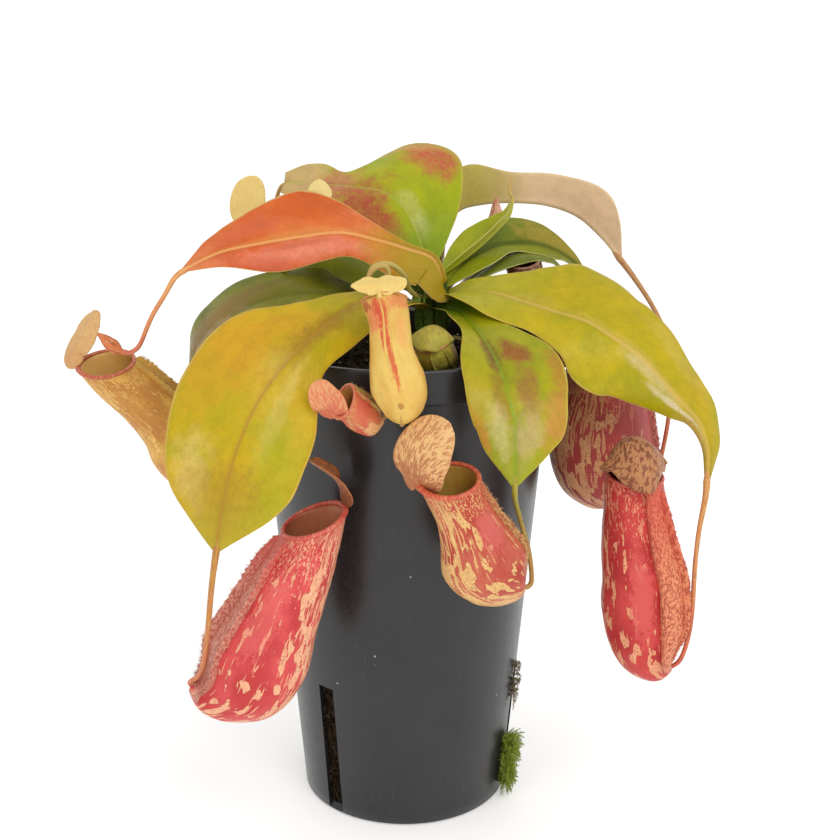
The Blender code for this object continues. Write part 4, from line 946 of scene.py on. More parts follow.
class Graph:
    """A material's nodes, written as small expressions."""

    def __init__(self, name, roughness=0.5, specular=0.5):
        self.material = bpy.data.materials.new(name)
        self.material.use_nodes = True
        self.nodes = self.material.node_tree.nodes
        self.links = self.material.node_tree.links
        self.shader = self.nodes["Principled BSDF"]
        self.shader.inputs["Roughness"].default_value = roughness
        self.shader.inputs["Specular IOR Level"].default_value = specular

    def put(self, socket, value):
        if isinstance(value, bpy.types.NodeSocket):
            self.links.new(value, socket)
        elif isinstance(value, tuple) and len(value) == 3 and len(socket.default_value) == 4:
            socket.default_value = (*value, 1.0)
        else:
            socket.default_value = value

    def math(self, kind, first, second=0.0):
        node = self.nodes.new("ShaderNodeMath")
        node.operation = kind
        self.put(node.inputs[0], first)
        self.put(node.inputs[1], second)
        return node.outputs[0]

    def add(self, first, second):
        return self.math("ADD", first, second)

    def times(self, first, second):
        return self.math("MULTIPLY", first, second)

    def size(self, value):
        return self.math("ABSOLUTE", value)

    def distance(self, first, second):
        total = self.add(self.times(first, first), self.times(second, second))
        return self.math("SQRT", total)

    def mix(self, factor, first, second):
        node = self.nodes.new("ShaderNodeMix")
        node.data_type = "RGBA"
        node.clamp_factor = True
        self.put(node.inputs[0], factor)
        self.put(node.inputs[6], first)
        self.put(node.inputs[7], second)
        return node.outputs[2]

    def smooth(self, value, low, high, start=0.0, end=1.0):
        """Runs smoothly from start to end as value goes from low to high."""
        node = self.nodes.new("ShaderNodeMapRange")
        node.interpolation_type = "SMOOTHSTEP"
        self.put(node.inputs[0], value)
        for socket, number in zip(node.inputs[1:5], (low, high, start, end)):
            socket.default_value = number
        return node.outputs[0]

    def over(self, colour, paint, value, low, high, strength=1.0):
        """Paint laid over a colour, more of it as value goes from low to high."""
        return self.mix(self.smooth(value, low, high, 0.0, strength), colour, paint)

    def field(self, name):
        node = self.nodes.new("ShaderNodeAttribute")
        node.attribute_name = name
        return node.outputs["Vector"]

    def parts(self, vector):
        node = self.nodes.new("ShaderNodeSeparateXYZ")
        self.put(node.inputs[0], vector)
        return node.outputs

    def vector(self, x, y, z):
        node = self.nodes.new("ShaderNodeCombineXYZ")
        for socket, value in zip(node.inputs, (x, y, z)):
            self.put(socket, value)
        return node.outputs[0]

    def stretch(self, vector, scale, shift):
        node = self.nodes.new("ShaderNodeVectorMath")
        node.operation = "MULTIPLY_ADD"
        self.put(node.inputs[0], vector)
        node.inputs[1].default_value = scale
        node.inputs[2].default_value = shift
        return node.outputs[0]

    def noise(self, vector, scale, detail=3.0, rough=0.5, warp=0.0, shift=(0.0, 0.0, 0.0)):
        """Noise at one scale, or at one for each axis, which makes streaks."""
        if isinstance(scale, tuple):
            vector = self.stretch(vector, scale, shift)
            scale = 1.0
        node = self.nodes.new("ShaderNodeTexNoise")
        self.put(node.inputs["Vector"], vector)
        node.inputs["Scale"].default_value = scale
        node.inputs["Detail"].default_value = detail
        node.inputs["Roughness"].default_value = rough
        node.inputs["Distortion"].default_value = warp
        return node.outputs[0]

    def dots(self, vector, scale):
        """How far each place is from the nearest of many scattered dots."""
        node = self.nodes.new("ShaderNodeTexVoronoi")
        node.feature = "F1"
        self.put(node.inputs["Vector"], vector)
        node.inputs["Scale"].default_value = scale
        return node.outputs["Distance"]

    def bump(self, height, strength, distance):
        """A normal for a surface whose details are up to `distance` metres high."""
        node = self.nodes.new("ShaderNodeBump")
        node.inputs["Strength"].default_value = strength
        node.inputs["Distance"].default_value = distance
        self.put(node.inputs["Height"], height)
        return node.outputs[0]

    def finish(self, colour, normal=None, roughness=None):
        self.put(self.shader.inputs["Base Color"], colour)
        if normal is not None:
            self.put(self.shader.inputs["Normal"], normal)
        if roughness is not None:
            self.put(self.shader.inputs["Roughness"], roughness)
        return self.material


# ---------------------------------------------------------------- leaves

def leaf_surface(leaf):
    """Points across a leaf from its left edge over its midrib to its right, with the shares and
    the millimetres along and across at each."""
    path = [stem_seat(leaf["angle"], leaf["height"]), *leaf["path"]]
    centre = smooth_path(path, LEAF_ROWS)
    tangent = unit(np.gradient(centre, axis=0))
    across = unit(np.cross(tangent, along(leaf["face"], LEAF_ROWS)))
    upward = np.cross(across, tangent)
    steps = np.linspace(0, 1, LEAF_HALF_COLUMNS + 1)[1:]
    halves, measures = [], []
    for sign, key in ((-1, "left"), (1, "right")):
        width, lift, bend = (along(values, LEAF_ROWS) for values in leaf[key])
        lift, bend = np.radians(lift), np.radians(bend)
        bend = np.where(np.abs(bend) < LEAST_BEND, LEAST_BEND, bend)
        out = width * (np.sin(lift + bend * steps) - np.sin(lift)) / bend
        rise = width * (np.cos(lift) - np.cos(lift + bend * steps)) / bend
        halves.append(centre[:, None] + sign * out[..., None] * across[:, None]
                      + rise[..., None] * upward[:, None])
        measures.append(sign * width * steps)
    grid = np.concatenate([halves[0][:, ::-1], centre[:, None], halves[1]], axis=1)
    shares = np.linspace(0, 1, LEAF_ROWS)[:, None]
    place = fields(grid, shares, np.linspace(-1, 1, 2 * LEAF_HALF_COLUMNS + 1))
    wide = np.concatenate([measures[0][:, ::-1], np.zeros((LEAF_ROWS, 1)), measures[1]], axis=1)
    return grid, place, fields(grid, path_knots(centre)[:, None], wide)


def add_leaf(name, leaf, seed):
    grid, place, span = leaf_surface(leaf)
    away = np.abs(place[..., 1])
    side = np.abs(span[..., 1])
    swell = LEAF_SWELL * wander(span, LEAF_SWELL_SIZE, seed) * np.clip(side / 9, 0, 1)
    ruffle = LEAF_RUFFLE * wander(span, LEAF_RUFFLE_SIZE, seed + 40) * away**3 * np.clip(side / 8, 0, 1)
    groove = -MIDRIB_GROOVE * np.exp(-side**2) * np.clip(span[..., 0] / 12, 0, 1)
    normal = normals_of(grid)
    middle = grid + normal * (swell + ruffle)[..., None]
    half = 0.5 * LEAF_THICKNESS * (1 - LEAF_EDGE_THINNING * away**2)
    keel = MIDRIB_KEEL * np.exp(-(side / MIDRIB_KEEL_WIDTH) ** 2)
    shape = Shape()
    add_sheet(shape, middle + normal * (half + groove)[..., None],
              middle - normal * (half + keel)[..., None], place, span)
    shape.make(name, [leaf_material(name, LEAF_LOOKS[name], seed)])


def leaf_material(name, look, seed):
    g = Graph(name, specular=0.22)
    span = g.field("span")
    u, v, side = g.parts(g.field("place"))
    length, across, _ = g.parts(span)
    away = g.size(v)
    off = g.size(across)
    spread = g.stretch(span, (1.0, 1.0, 1.0), (seed * 3.7, seed * 1.9, seed * 5.1))
    cloud = g.noise(spread, 0.05, detail=3, warp=0.4)
    colour = g.over(look["main"], look["second"], cloud, 0.36, 0.64)
    rough_edge = g.add(g.times(g.noise(spread, 0.16, detail=5, rough=0.65), 1.7), -0.85)
    mottle = g.smooth(g.noise(spread, 0.9, detail=4, rough=0.65), 0.33, 0.6, 0.6, 1.0)
    # Spots of the leaf's own colour, and pale painted highlights where the gloss would catch the lamp
    for where, across_at, half_length, half_width, spot, strength in look["spots_and_highlights"]:
        far = g.distance(g.times(g.add(u, -where), 1 / half_length),
                         g.times(g.add(v, -across_at), 1 / half_width))
        near = g.smooth(g.add(far, rough_edge), 0.35, 1.25, strength, 0.0)
        colour = g.mix(g.times(near, mottle), colour, spot)
    turn = look.get("turn", (0.10, 0.34))
    colour = g.mix(g.smooth(u, *turn, 1.0, 0.0), colour, look["young"])
    towards_tip = g.add(u, g.times(rough_edge, 0.1))
    colour = g.over(colour, look["tip"], towards_tip, *look.get("tip_turn", (0.84, 1.0)), 0.8)
    # Veins leave the midrib at a slant and run side by side to the edge
    slant = g.add(length, g.times(off, -1.5))
    veins = g.noise(g.vector(g.times(slant, 0.85), g.times(off, 0.05), seed * 2.3), 1.0, detail=2)
    fine = g.noise(g.vector(g.times(slant, 2.6), g.times(off, 0.3), seed * 1.3), 1.0, detail=2)
    streaks = g.add(g.times(g.smooth(veins, 0.35, 0.65), 0.6), g.times(fine, 0.4))
    darker = g.mix(0.22, colour, BLACK)
    colour = g.over(colour, darker, streaks, 0.25, 0.75, 0.2)
    tone = g.noise(spread, 0.22, detail=5, rough=0.65)
    colour = g.over(colour, darker, tone, 0.42, 0.62, 0.42)
    freckle = g.noise(spread, 0.6, detail=5, rough=0.75)
    colour = g.over(colour, (0.26, 0.12, 0.012), freckle, 0.60, 0.74, 0.5)
    # The pale midrib line, with a thin dark line on each side
    rib, rib_width, rib_strength = look["midrib"]
    fade = g.smooth(u, 0.06, 0.2)
    beside = g.smooth(off, rib_width, rib_width * 2.6, 0.35, 0.0)
    colour = g.mix(g.times(beside, fade), colour, darker)
    line = g.smooth(off, rib_width * 0.35, rib_width, rib_strength, 0.0)
    colour = g.mix(g.times(line, fade), colour, rib)
    colour = g.over(colour, look["edge"], g.add(away, g.times(rough_edge, 0.03)), 0.955, 0.99, 0.85)
    under = g.over(look["under"], g.mix(0.4, look["under"], look["main"]), cloud, 0.3, 0.7)
    turn = look.get("under_turn", (0.10, 0.40))
    under = g.mix(g.smooth(u, *turn, 1.0, 0.0), under, look["young"])
    under = g.over(under, g.mix(0.3, under, (0.12, 0.06, 0.02)), tone, 0.42, 0.62, 0.3)
    under = g.mix(g.times(line, fade), under, look["edge"])
    colour = g.mix(g.smooth(side, -0.2, 0.2, 0.9, 0.0), colour, under)
    grain = g.noise(spread, 2.2, detail=2)
    height = g.add(g.add(g.times(streaks, 0.5), g.times(grain, 0.25)), g.times(tone, 1.4))
    gloss = g.smooth(tone, 0.35, 0.65, 0.26, 0.42)
    return g.finish(colour, g.bump(height, 0.22, 0.0005), gloss)


# ---------------------------------------------------------------- pitchers and lids

def cup_frame(pitcher, rows):
    """The rings of a pitcher: centres, radii and the directions that they lie in."""
    axis = along(pitcher["axis"], rows)
    normal = unit(along(pitcher["plane"], rows))
    front = np.array(pitcher["front"], float)
    front = unit(front - (normal @ front)[:, None] * normal)
    return axis[:, :3], axis[:, 3], normal, front, np.cross(normal, front)


def cup_point(rings, row, angle, out=0.0):
    """A point on a pitcher's ring at an angle from its wings, in radians."""
    centre, radius, _, front, side = rings
    heading = math.cos(angle) * front[row] + math.sin(angle) * side[row]
    return centre[row] + (radius[row] + out) * heading, heading


def add_cup(shape, rings, seed):
    """The outer wall, turned over the mouth into the inner wall, closed at both bottoms."""
    centre, radius, _, front, side = rings
    turn, level_ways = circle(CUP_STEPS)
    ways = front[:, None] * level_ways[:, :1] + side[:, None] * level_ways[:, 1:2]
    share = np.linspace(0, 1, CUP_ROWS)
    outer = centre[:, None] + radius[:, None, None] * ways
    dents = CUP_DENTS * wander(outer, CUP_DENT_SIZE, seed) * np.clip(radius / 6, 0, 1)[:, None]
    creases = CUP_CREASES * np.sin(CUP_CREASE_COUNT * turn) * np.clip(share * 4, 0, 1)[:, None]
    outer = outer + ways * (dents + creases * np.clip(radius / 12, 0.3, 1)[:, None])[..., None]
    rows = list(range(CUP_ROWS - 1, int(CUP_ROWS * CUP_HOLLOW_FROM), -1))
    hollow = np.maximum(radius[rows] - CUP_WALL, 0.4)[:, None, None]
    points = np.concatenate([outer, centre[rows][:, None] + hollow * ways[rows]])
    everything = [*range(CUP_ROWS), *rows]
    wide = radius.max() * 0.8
    place = fields(points, share[everything][:, None], (turn + math.pi) % math.tau / math.pi - 1)
    span = fields(points, wide * np.cos(turn), wide * np.sin(turn), path_knots(centre)[everything][:, None])
    faces = closed_faces(len(points), CUP_STEPS)
    outside = CUP_ROWS * CUP_STEPS
    slots = [SKIN] * outside + [INSIDE] * (len(faces) - 2 - outside) + [SKIN, INSIDE]
    shape.add(points, place, span, faces, slots)


def add_lip(shape, rings, rim):
    """The rolled and finely ribbed rim of a mouth."""
    centre, radius, normal, front, side = (values[-1] for values in rings)
    thick = (LIP_THICKNESS + LIP_GROWTH * radius) * rim
    ribs = max(30, int(math.tau * radius / LIP_RIB))
    steps = ribs * LIP_RIB_STEPS
    turn, level_ways = circle(steps)
    around, _ = circle(LIP_SIDES)
    back = 0.5 - 0.5 * np.cos(turn)
    size = thick * (1 + 0.35 * back**2) * (1 + LIP_RIB_DEPTH * np.cos(ribs * turn))
    ways = front * level_ways[:, :1] + side * level_ways[:, 1:2]
    middle = centre + (radius - 0.25) * ways + normal * (0.15 + 0.7 * back**4)[:, None]
    points = (middle[:, None] + (size[:, None] * np.cos(around))[..., None] * ways[:, None]
              + (0.85 * size[:, None] * np.sin(around))[..., None] * normal)
    place = fields(points, back[:, None], (turn / math.pi - 1)[:, None])
    span = fields(points, (radius * np.cos(turn))[:, None], (radius * np.sin(turn))[:, None], around)
    count = steps * LIP_SIDES
    faces = [tuple(corner % count for corner in face)
             for face in grid_faces(steps + 1, LIP_SIDES, wrap=True)]
    shape.add(points, place, span, faces, LIP)


def add_wings(shape, rings, pitcher, rng):
    """Two thin ruffled wings down the front of a pitcher, with a fringe of hairs."""
    centre, radius = rings[:2]
    length = path_knots(centre)
    share = np.linspace(0, 1, len(centre))
    rows = [i for i in range(len(centre)) if 0.1 < share[i] < 0.97 and radius[i] > 2]
    swell = np.interp(share, WING_PLACES, WING_SHARES) * pitcher["wing"]
    heights = np.linspace(0, 1, WING_COLUMNS)
    for sign in (-1, 1):
        angle = sign * math.radians(WING_ANGLE)
        crest = []
        grid = np.zeros((len(rows), WING_COLUMNS, 3))
        for n, row in enumerate(rows):
            root, way = cup_point(rings, row, angle, -0.6)
            _, lean = cup_point(rings, row, angle + sign * 0.5)
            jag = noise.noise(Vector((length[row] * 0.6, sign * 5.0, 1.0)))
            fray = noise.noise(Vector((length[row] * 2.6, sign * 9.0, 2.0)))
            rise = swell[row] * (1 + 0.22 * jag + 0.14 * fray) + 0.8
            sway = 0.45 * swell[row] * noise.noise(Vector((length[row] * 0.3, sign * 3.0, 5.0)))
            for k, height in enumerate(heights):
                grid[n, k] = root + way * rise * height + (lean - way) * (sway + 0.5) * height**2
            crest.append((grid[n, -1].copy(), unit(grid[n, -1] - grid[n, -2])))
        shares = share[rows][:, None]
        place = fields(grid, shares, sign * (0.02 + 0.05 * heights))
        span = fields(grid, 40 + 3 * sign + heights * swell.max(), 0, length[rows][:, None])
        thick = normals_of(grid) * (0.42 - 0.14 * heights)[:, None]
        add_sheet(shape, grid + thick, grid - thick, place, span, SKIN)
        for _ in range(int(WING_HAIRS * (length[rows[-1]] - length[rows[0]]))):
            at = rng.random() * (len(crest) - 1)
            low = int(at)
            point = crest[low][0] * (1 - at + low) + crest[low + 1][0] * (at - low)
            out = crest[low][1] + scattered(rng, 0.6)
            size = rng.uniform(0.35, 1.0) * (1.3 + 0.3 * pitcher["wing"])
            add_hair(shape, point - 0.15 * unit(out), out, size, WING_HAIR_RADIUS, HAIR, 0.12)


def add_stubble(shape, rings, rng):
    """Short hairs scattered over the upper part of the skin."""
    for _ in range(int(6 * rings[1].max())):
        row = int(CUP_ROWS * (1 - 0.4 * rng.random() ** 1.6)) - 1
        root, way = cup_point(rings, row, rng.uniform(-math.pi, math.pi), -0.1)
        out = way + scattered(rng, 0.5)
        add_hair(shape, root, out, rng.uniform(0.4, 1.1), STUBBLE_RADIUS, HAIR, 0.1)


def add_pitcher(name, pitcher, seed):
    rng = random.Random(seed)
    rings = cup_frame(pitcher, CUP_ROWS)
    look = PITCHER_LOOKS[name]
    shape = Shape()
    add_cup(shape, rings, seed)
    add_lip(shape, rings, look.get("rim", 1.0))
    add_wings(shape, cup_frame(pitcher, WING_ROWS), pitcher, rng)
    add_stubble(shape, rings, rng)
    shape.make(name, [skin_material(name, look, seed), inside_material(name, look, seed),
                      lip_material(name, look, seed), hair_material(name, look)])
    if pitcher["lid"]:
        add_lid(name.replace("pitcher", "lid"), pitcher, rings, seed)


def skin_material(name, look, seed):
    g = Graph(name + "_skin", specular=0.2)
    span = g.field("span")
    u, v, _ = g.parts(g.field("place"))
    away = g.size(v)
    shift = (seed * 4.1, seed * 2.3, seed * 6.7)
    cloud = g.noise(span, (0.10, 0.10, 0.06), detail=2, shift=shift)
    colour = g.over(look["skin"], look["deep"], cloud, 0.35, 0.65)
    blush = g.noise(span, (0.5, 0.5, 0.3), detail=3, shift=shift)
    colour = g.over(colour, look["deep"], blush, 0.45, 0.7, 0.35)
    # Long cream patches with dark outlines, joined towards the base
    fine = g.noise(span, (1.7, 1.7, 1.1), detail=2, shift=shift)
    fray = g.times(g.add(fine, -0.5), 0.09)
    patch = g.noise(span, (0.33, 0.33, 0.125), detail=2, rough=0.4, warp=0.25, shift=shift)
    more = g.add(g.times(g.smooth(away, 0.2, 0.8), look["share"]),
                 g.times(g.smooth(u, 0.65, 0.15), look["low"]))
    patch = g.add(g.add(g.add(patch, more), fray), -0.655)
    mask = g.times(g.smooth(patch, 0.0, 0.014), g.smooth(u, 0.80, 0.95, 1.0, 0.25))
    # Thin stripes down the back, and a lace of short marks under the mouth
    line = g.noise(span, (0.95, 0.95, 0.085), detail=2, warp=0.15, shift=shift)
    line = g.add(g.add(line, fray), g.smooth(away, 0.38, 0.8, -0.10, look["back"]))
    marks = g.noise(span, (1.25, 1.25, 0.55), detail=1, warp=0.7, shift=shift)
    net = g.add(marks, g.smooth(u, 0.60, 0.92, -0.2, look["net"]))
    # Cream shades into tan, with dark specks
    speck = g.noise(span, (2.6, 2.6, 1.9), detail=1, shift=shift)
    shade = g.over(look["cream"], g.mix(0.35, look["cream"], look["deep"]), blush, 0.3, 0.7, 0.6)
    shade = g.over(shade, g.mix(0.6, look["deep"], (0.12, 0.05, 0.02)), speck, 0.60, 0.66, 0.8)
    colour = g.over(colour, shade, net, 0.56, 0.595, 0.75)
    colour = g.over(colour, g.mix(0.3, look["deep"], (0.1, 0.02, 0.01)), patch, -0.035, -0.004, 0.45)
    colour = g.over(colour, shade, line, 0.555, 0.575, 0.85)
    colour = g.mix(mask, colour, shade)
    # Spots, and on two pitchers a painted highlight where the lamp would shine on the skin
    for where, across_at, half_length, half_width, spot, strength in look["spots_and_highlights"]:
        apart = g.size(g.add(v, -across_at))
        round_back = g.math("MINIMUM", apart, g.math("SUBTRACT", 2.0, apart))
        far = g.distance(g.times(g.add(u, -where), 1 / half_length),
                         g.times(round_back, 1 / half_width))
        rag = g.add(g.times(g.add(marks, -0.5), 1.2), g.times(g.add(blush, -0.5), 0.8))
        colour = g.mix(g.smooth(g.add(far, rag), 0.5, 1.1, strength, 0.0), colour, spot)
    # The tan panel between the wings, with a dark lace, and the wings themselves
    wiggle = g.noise(span, (1.3, 1.3, 0.6), detail=3, rough=0.6, warp=0.5, shift=shift)
    dark = g.mix(0.35, look["deep"], (0.14, 0.04, 0.015))
    if "lace" in look:
        colour = g.over(colour, dark, wiggle, 0.50, 0.56, look["lace"])
    panel = g.mix(g.smooth(wiggle, 0.47, 0.54), look["panel"], g.mix(0.75, look["panel"], dark))
    panel = g.over(panel, look["skin"], u, 0.6, 0.95, 0.6)
    colour = g.mix(g.smooth(away, 0.095, 0.12, 0.94, 0.0), colour, panel)
    grain = g.noise(span, (3.5, 3.5, 3.0), detail=2, shift=shift)
    ridge = g.noise(span, (0.8, 0.8, 0.06), detail=2, shift=shift)
    height = g.add(g.times(grain, 0.35), g.add(g.times(ridge, 0.8), g.times(mask, -0.12)))
    return g.finish(colour, g.bump(height, 0.4, 0.0006), g.smooth(grain, 0.3, 0.7, 0.34, 0.5))


def inside_material(name, look, seed):
    g = Graph(name + "_inside", roughness=0.35, specular=0.35)
    span = g.field("span")
    u, _, _ = g.parts(g.field("place"))
    cloud = g.noise(span, (0.4, 0.4, 0.15), detail=3, shift=(seed, 0, 0))
    colour = g.over(look["inside"], g.mix(0.25, look["inside"], look["deep"]), cloud, 0.3, 0.7)
    # Painted shade: the inside darkens towards the bottom of the hollow, where little light reaches
    painted_hollow_shade = g.mix(0.55, look["inside"], (0.05, 0.02, 0.005))
    colour = g.mix(g.smooth(u, 0.86, 0.5), colour, painted_hollow_shade)
    speck = g.noise(span, (2.0, 2.0, 1.2), detail=2, shift=(0, seed, 0))
    colour = g.over(colour, look["deep"], speck, 0.62, 0.70, 0.4)
    return g.finish(colour, g.bump(speck, 0.15, 0.0004))


def lip_material(name, look, seed):
    g = Graph(name + "_lip", roughness=0.3, specular=0.45)
    streak = g.noise(g.field("span"), (1.6, 1.6, 0.15), detail=2, shift=(seed, 3.0, 0))
    darker = g.mix(0.5, look["lip"], look["deep"])
    lighter = g.mix(0.3, look["lip"], look["cream"])
    colour = g.over(lighter, g.over(look["lip"], darker, streak, 0.5, 0.7), streak, 0.38, 0.52)
    return g.finish(colour, g.bump(streak, 0.2, 0.0003))


def hair_material(name, look):
    g = Graph(name + "_hair", roughness=0.6, specular=0.3)
    spot = g.noise(g.field("span"), 1.5, detail=1)
    return g.finish(g.mix(spot, look["hair"], g.mix(0.5, look["hair"], look["deep"])))


def add_lid(name, pitcher, rings, seed):
    """A lid on its hinge at the back of the mouth: an oval plate, notched at its base."""
    look = LID_LOOKS[name]
    mouth_way = unit(pitcher["plane"][-1])
    hinge, _ = cup_point(rings, CUP_ROWS - 1, math.pi)
    start = hinge + (LID_THICKNESS / 2 + LID_GAP) * mouth_way
    centre = smooth_path([start, *pitcher["lid"]["path"]], LID_ROWS)
    tangent = unit(np.gradient(centre, axis=0))
    across = unit(np.cross(tangent, along(pitcher["lid"]["face"], LID_ROWS)))
    upward = np.cross(across, tangent)
    share = np.linspace(0, 1, LID_ROWS)[:, None]
    steps = np.linspace(-1, 1, 2 * LID_HALF_COLUMNS + 1)
    neck = look.get("neck", 0.1)
    oval = np.abs(2 * (neck + (1 - neck - look.get("blunt", 0)) * share) - 1)
    width = look["width"] * np.maximum(1 - oval**LID_SIDE_POWER, 0.004) ** LID_END_POWER
    cup = math.radians(look["cup"])
    out = width * steps
    lift = width * np.abs(steps) ** 1.8 * math.sin(cup)
    lobe = look["lobe"] * np.sin(math.pi * np.clip(np.abs(steps) * 1.1, 0, 1)) * (1 - share) ** 3
    lobe = lobe - look.get("round", 0) * (1 - steps**2) * share**3
    lobe = lobe - look.get("tip", 0) * np.sin(math.pi * np.clip(np.abs(steps), 0.08, 1)) * share**2
    grid = (centre[:, None] + (out * math.cos(cup * 0.6))[..., None] * across[:, None]
            + lift[..., None] * upward[:, None] - lobe[..., None] * tangent[:, None])
    span = fields(grid, path_knots(centre)[:, None] - lobe, out)
    ruffle = (0.45 * wander(span, 7.0, seed) + 0.25 * wander(span, 3.0, seed + 9)) * np.abs(steps)
    keel = LID_KEEL * np.exp(-(out / LID_KEEL_WIDTH) ** 2)
    half = LID_HALF_THICKNESS - LID_EDGE_THINNING * np.abs(steps) ** 2
    normal = normals_of(grid)
    grid = grid + normal * ruffle[..., None]
    shape = Shape()
    add_sheet(shape, grid + normal * half[..., None], grid - normal * (half + keel)[..., None],
              fields(grid, share, steps), span)
    stalk = [hinge - 0.8 * mouth_way, start + 0.2 * tangent[0], start + 2.2 * tangent[0]]
    add_tube(shape, smooth_path(stalk, len(STALK_RADII)), STALK_RADII, 8)
    shape.make(name, [lid_material(name, look, seed)])


def lid_material(name, look, seed):
    g = Graph(name, specular=0.3)
    span = g.field("span")
    u, v, side = g.parts(g.field("place"))
    length, across, _ = g.parts(span)
    angle = g.math("ARCTAN2", across, g.add(length, 3.0))
    reach = g.distance(length, across)
    fan = g.vector(g.times(angle, 30.0), g.times(reach, 0.36), seed * 3.1)
    rays = g.noise(fan, 1.0, detail=3, rough=0.6, warp=0.3)
    cloud = g.noise(span, (0.12, 0.12, 0.12), detail=2, shift=(seed, seed, 0))
    colour = g.over(look["base"], g.mix(0.35, look["base"], look["streak"]), cloud, 0.3, 0.7, 0.35)
    near = g.smooth(reach, 3.0, 18.0, 0.10, -0.03)
    fade = g.times(g.smooth(u, 1.0, 0.0, 0.65, 1.0), look["amount"])
    marks = g.times(g.smooth(g.add(rays, near), 0.485, 0.51), fade)
    colour = g.mix(marks, colour, look["streak"])
    speck = g.noise(span, (2.3, 2.3, 1.0), detail=2, shift=(0, seed, 0))
    colour = g.over(colour, look["streak"], speck, 0.60, 0.66, 0.55 * look["amount"] + 0.2)
    rim = g.mix(0.3, look["base"], look["streak"])
    colour = g.over(colour, rim, g.size(v), 0.9, 0.99, 0.6)
    under = g.over(look["under"], look["streak"], speck, 0.5, 0.62, 0.6)
    under = g.mix(g.times(marks, 0.8), under, look["streak"])
    colour = g.mix(g.smooth(side, -0.2, 0.2, 1.0, 0.0), colour, under)
    height = g.add(g.times(rays, 0.5), g.times(speck, 0.4))
    return g.finish(colour, g.bump(height, 0.35, 0.0004), g.smooth(cloud, 0.3, 0.7, 0.42, 0.6))


# ---------------------------------------------------------------- tendrils and buds

def tendril_start(tendril):
    """Points from under a leaf's midrib, or from the stem, to just beyond the tendril's seat."""
    if "stem" in tendril:
        seat = stem_seat(*tendril["stem"])
        return [seat - level(math.radians(tendril["stem"][0])), seat]
    leaf = LEAVES[tendril["leaf"]]
    path = smooth_path([stem_seat(leaf["angle"], leaf["height"]), *leaf["path"]], CAD_LEAF_ROWS)
    tip = path[-1]
    heading = unit(tip - path[-2])
    below = -0.5 * unit(np.cross(np.cross(heading, leaf["face"][-1]), heading))
    return [tip - 4.5 * heading + below, tip - 1.5 * heading + below, tip + TENDRIL_LEAD * heading]


def tendril_end(tendril):
    """Points from just before the seat of a pitcher or a bud to a little way into it."""
    if "pitcher" in tendril:
        pitcher = PITCHERS[tendril["pitcher"]]
        base = np.array(pitcher["axis"][0][:3], float)
        heading = unit(pitcher["plane"][0])
    elif "bud" in tendril:
        base, following = along(BUDS[tendril["bud"]]["axis"], BUD_RINGS)[:2, :3]
        heading = unit(following - base)
    else:
        return []
    return [base - TENDRIL_LEAD * heading, base + 1.2 * heading]


def add_tendril(name, tendril, seed):
    start_colour, end_colour, start_radius, end_radius = TENDRIL_LOOKS[name]
    coils = len(tendril["path"]) > COIL_PATH
    count = TENDRIL_POINTS * (COIL_FINENESS if coils else 1)
    path = smooth_path([*tendril_start(tendril), *tendril["path"], *tendril_end(tendril)], count)
    for _ in range(COIL_EASE if coils else TENDRIL_EASE):
        path[1:-1] = 0.5 * path[1:-1] + 0.25 * (path[:-2] + path[2:])
    share = np.linspace(0, 1, count)
    length = path_knots(path)
    radii = end_radius + (start_radius - end_radius) * np.exp(-share * 9)
    radii = radii * np.interp(length, [0, 4.5], [0.35, 1])
    if "pitcher" not in tendril and "bud" not in tendril:
        radii = radii * (1 - 0.45 * share**2)
    shape = Shape()
    add_tube(shape, path, radii * (1 + 0.06 * wander(path, 5.0, seed)), 12)
    rng = random.Random(seed)
    for _ in range(int(length[-1] * TENDRIL_HAIRS)):
        i = rng.randrange(2, count - 2)
        out = scattered(rng, 1)
        heading = unit(path[i + 1] - path[i])
        out = unit(out - heading * (out @ heading))
        root = path[i] + out * radii[i] * 0.8
        size = rng.uniform(0.3, 0.8)
        add_hair(shape, root, out + 0.3 * heading, size, TENDRIL_HAIR_RADIUS, 0, 0.1)
    shape.make(name, [tendril_material(name, start_colour, end_colour, seed)])


def tendril_material(name, start_colour, end_colour, seed):
    g = Graph(name, roughness=0.45, specular=0.35)
    span = g.field("span")
    u, _, _ = g.parts(g.field("place"))
    drift = g.noise(span, (0.25, 0.25, 0.10), detail=3, shift=(seed, 0, 0))
    place = g.add(u, g.times(g.add(drift, -0.5), 0.8))
    colour = g.over(start_colour, end_colour, place, 0.15, 0.85)
    streak = g.noise(span, (1.6, 1.6, 0.2), detail=2, shift=(0, seed, 0))
    colour = g.over(colour, g.mix(0.55, end_colour, (0.12, 0.04, 0.01)), streak, 0.52, 0.68, 0.6)
    speck = g.noise(span, (2.4, 2.4, 1.6), detail=1, shift=(0, 0, seed))
    colour = g.over(colour, (0.70, 0.44, 0.20), speck, 0.62, 0.68, 0.5)
    return g.finish(colour, g.bump(streak, 0.3, 0.0004))


def add_bud(name, bud, seed):
    axis = along(bud["axis"], BUD_POINTS)
    shape = Shape()
    add_tube(shape, axis[:, :3], np.maximum(axis[:, 3], 0.3), 18, lumps=0.35, seed=seed)
    main, dark = BUD_LOOKS[name]
    g = Graph(name, roughness=0.6, specular=0.25)
    span = g.field("span")
    pleat = g.noise(span, (1.2, 1.2, 0.12), detail=3, shift=(seed, 0, 0))
    speck = g.noise(span, (1.0, 1.0, 0.8), detail=3, shift=(0, seed, 0))
    colour = g.over(main, dark, pleat, 0.4, 0.6)
    colour = g.over(colour, (0.70, 0.50, 0.34), speck, 0.55, 0.7, 0.5)
    shape.make(name, [g.finish(colour, g.bump(pleat, 0.6, 0.0006))])


# ---------------------------------------------------------------- pot

def slot_half_angle(radius):
    """Half the angle that a slot takes up at a radius."""
    return math.asin(SLOT_WIDTH / 2 / max(radius, POT_BASE_RADIUS - POT_WALL - 1))


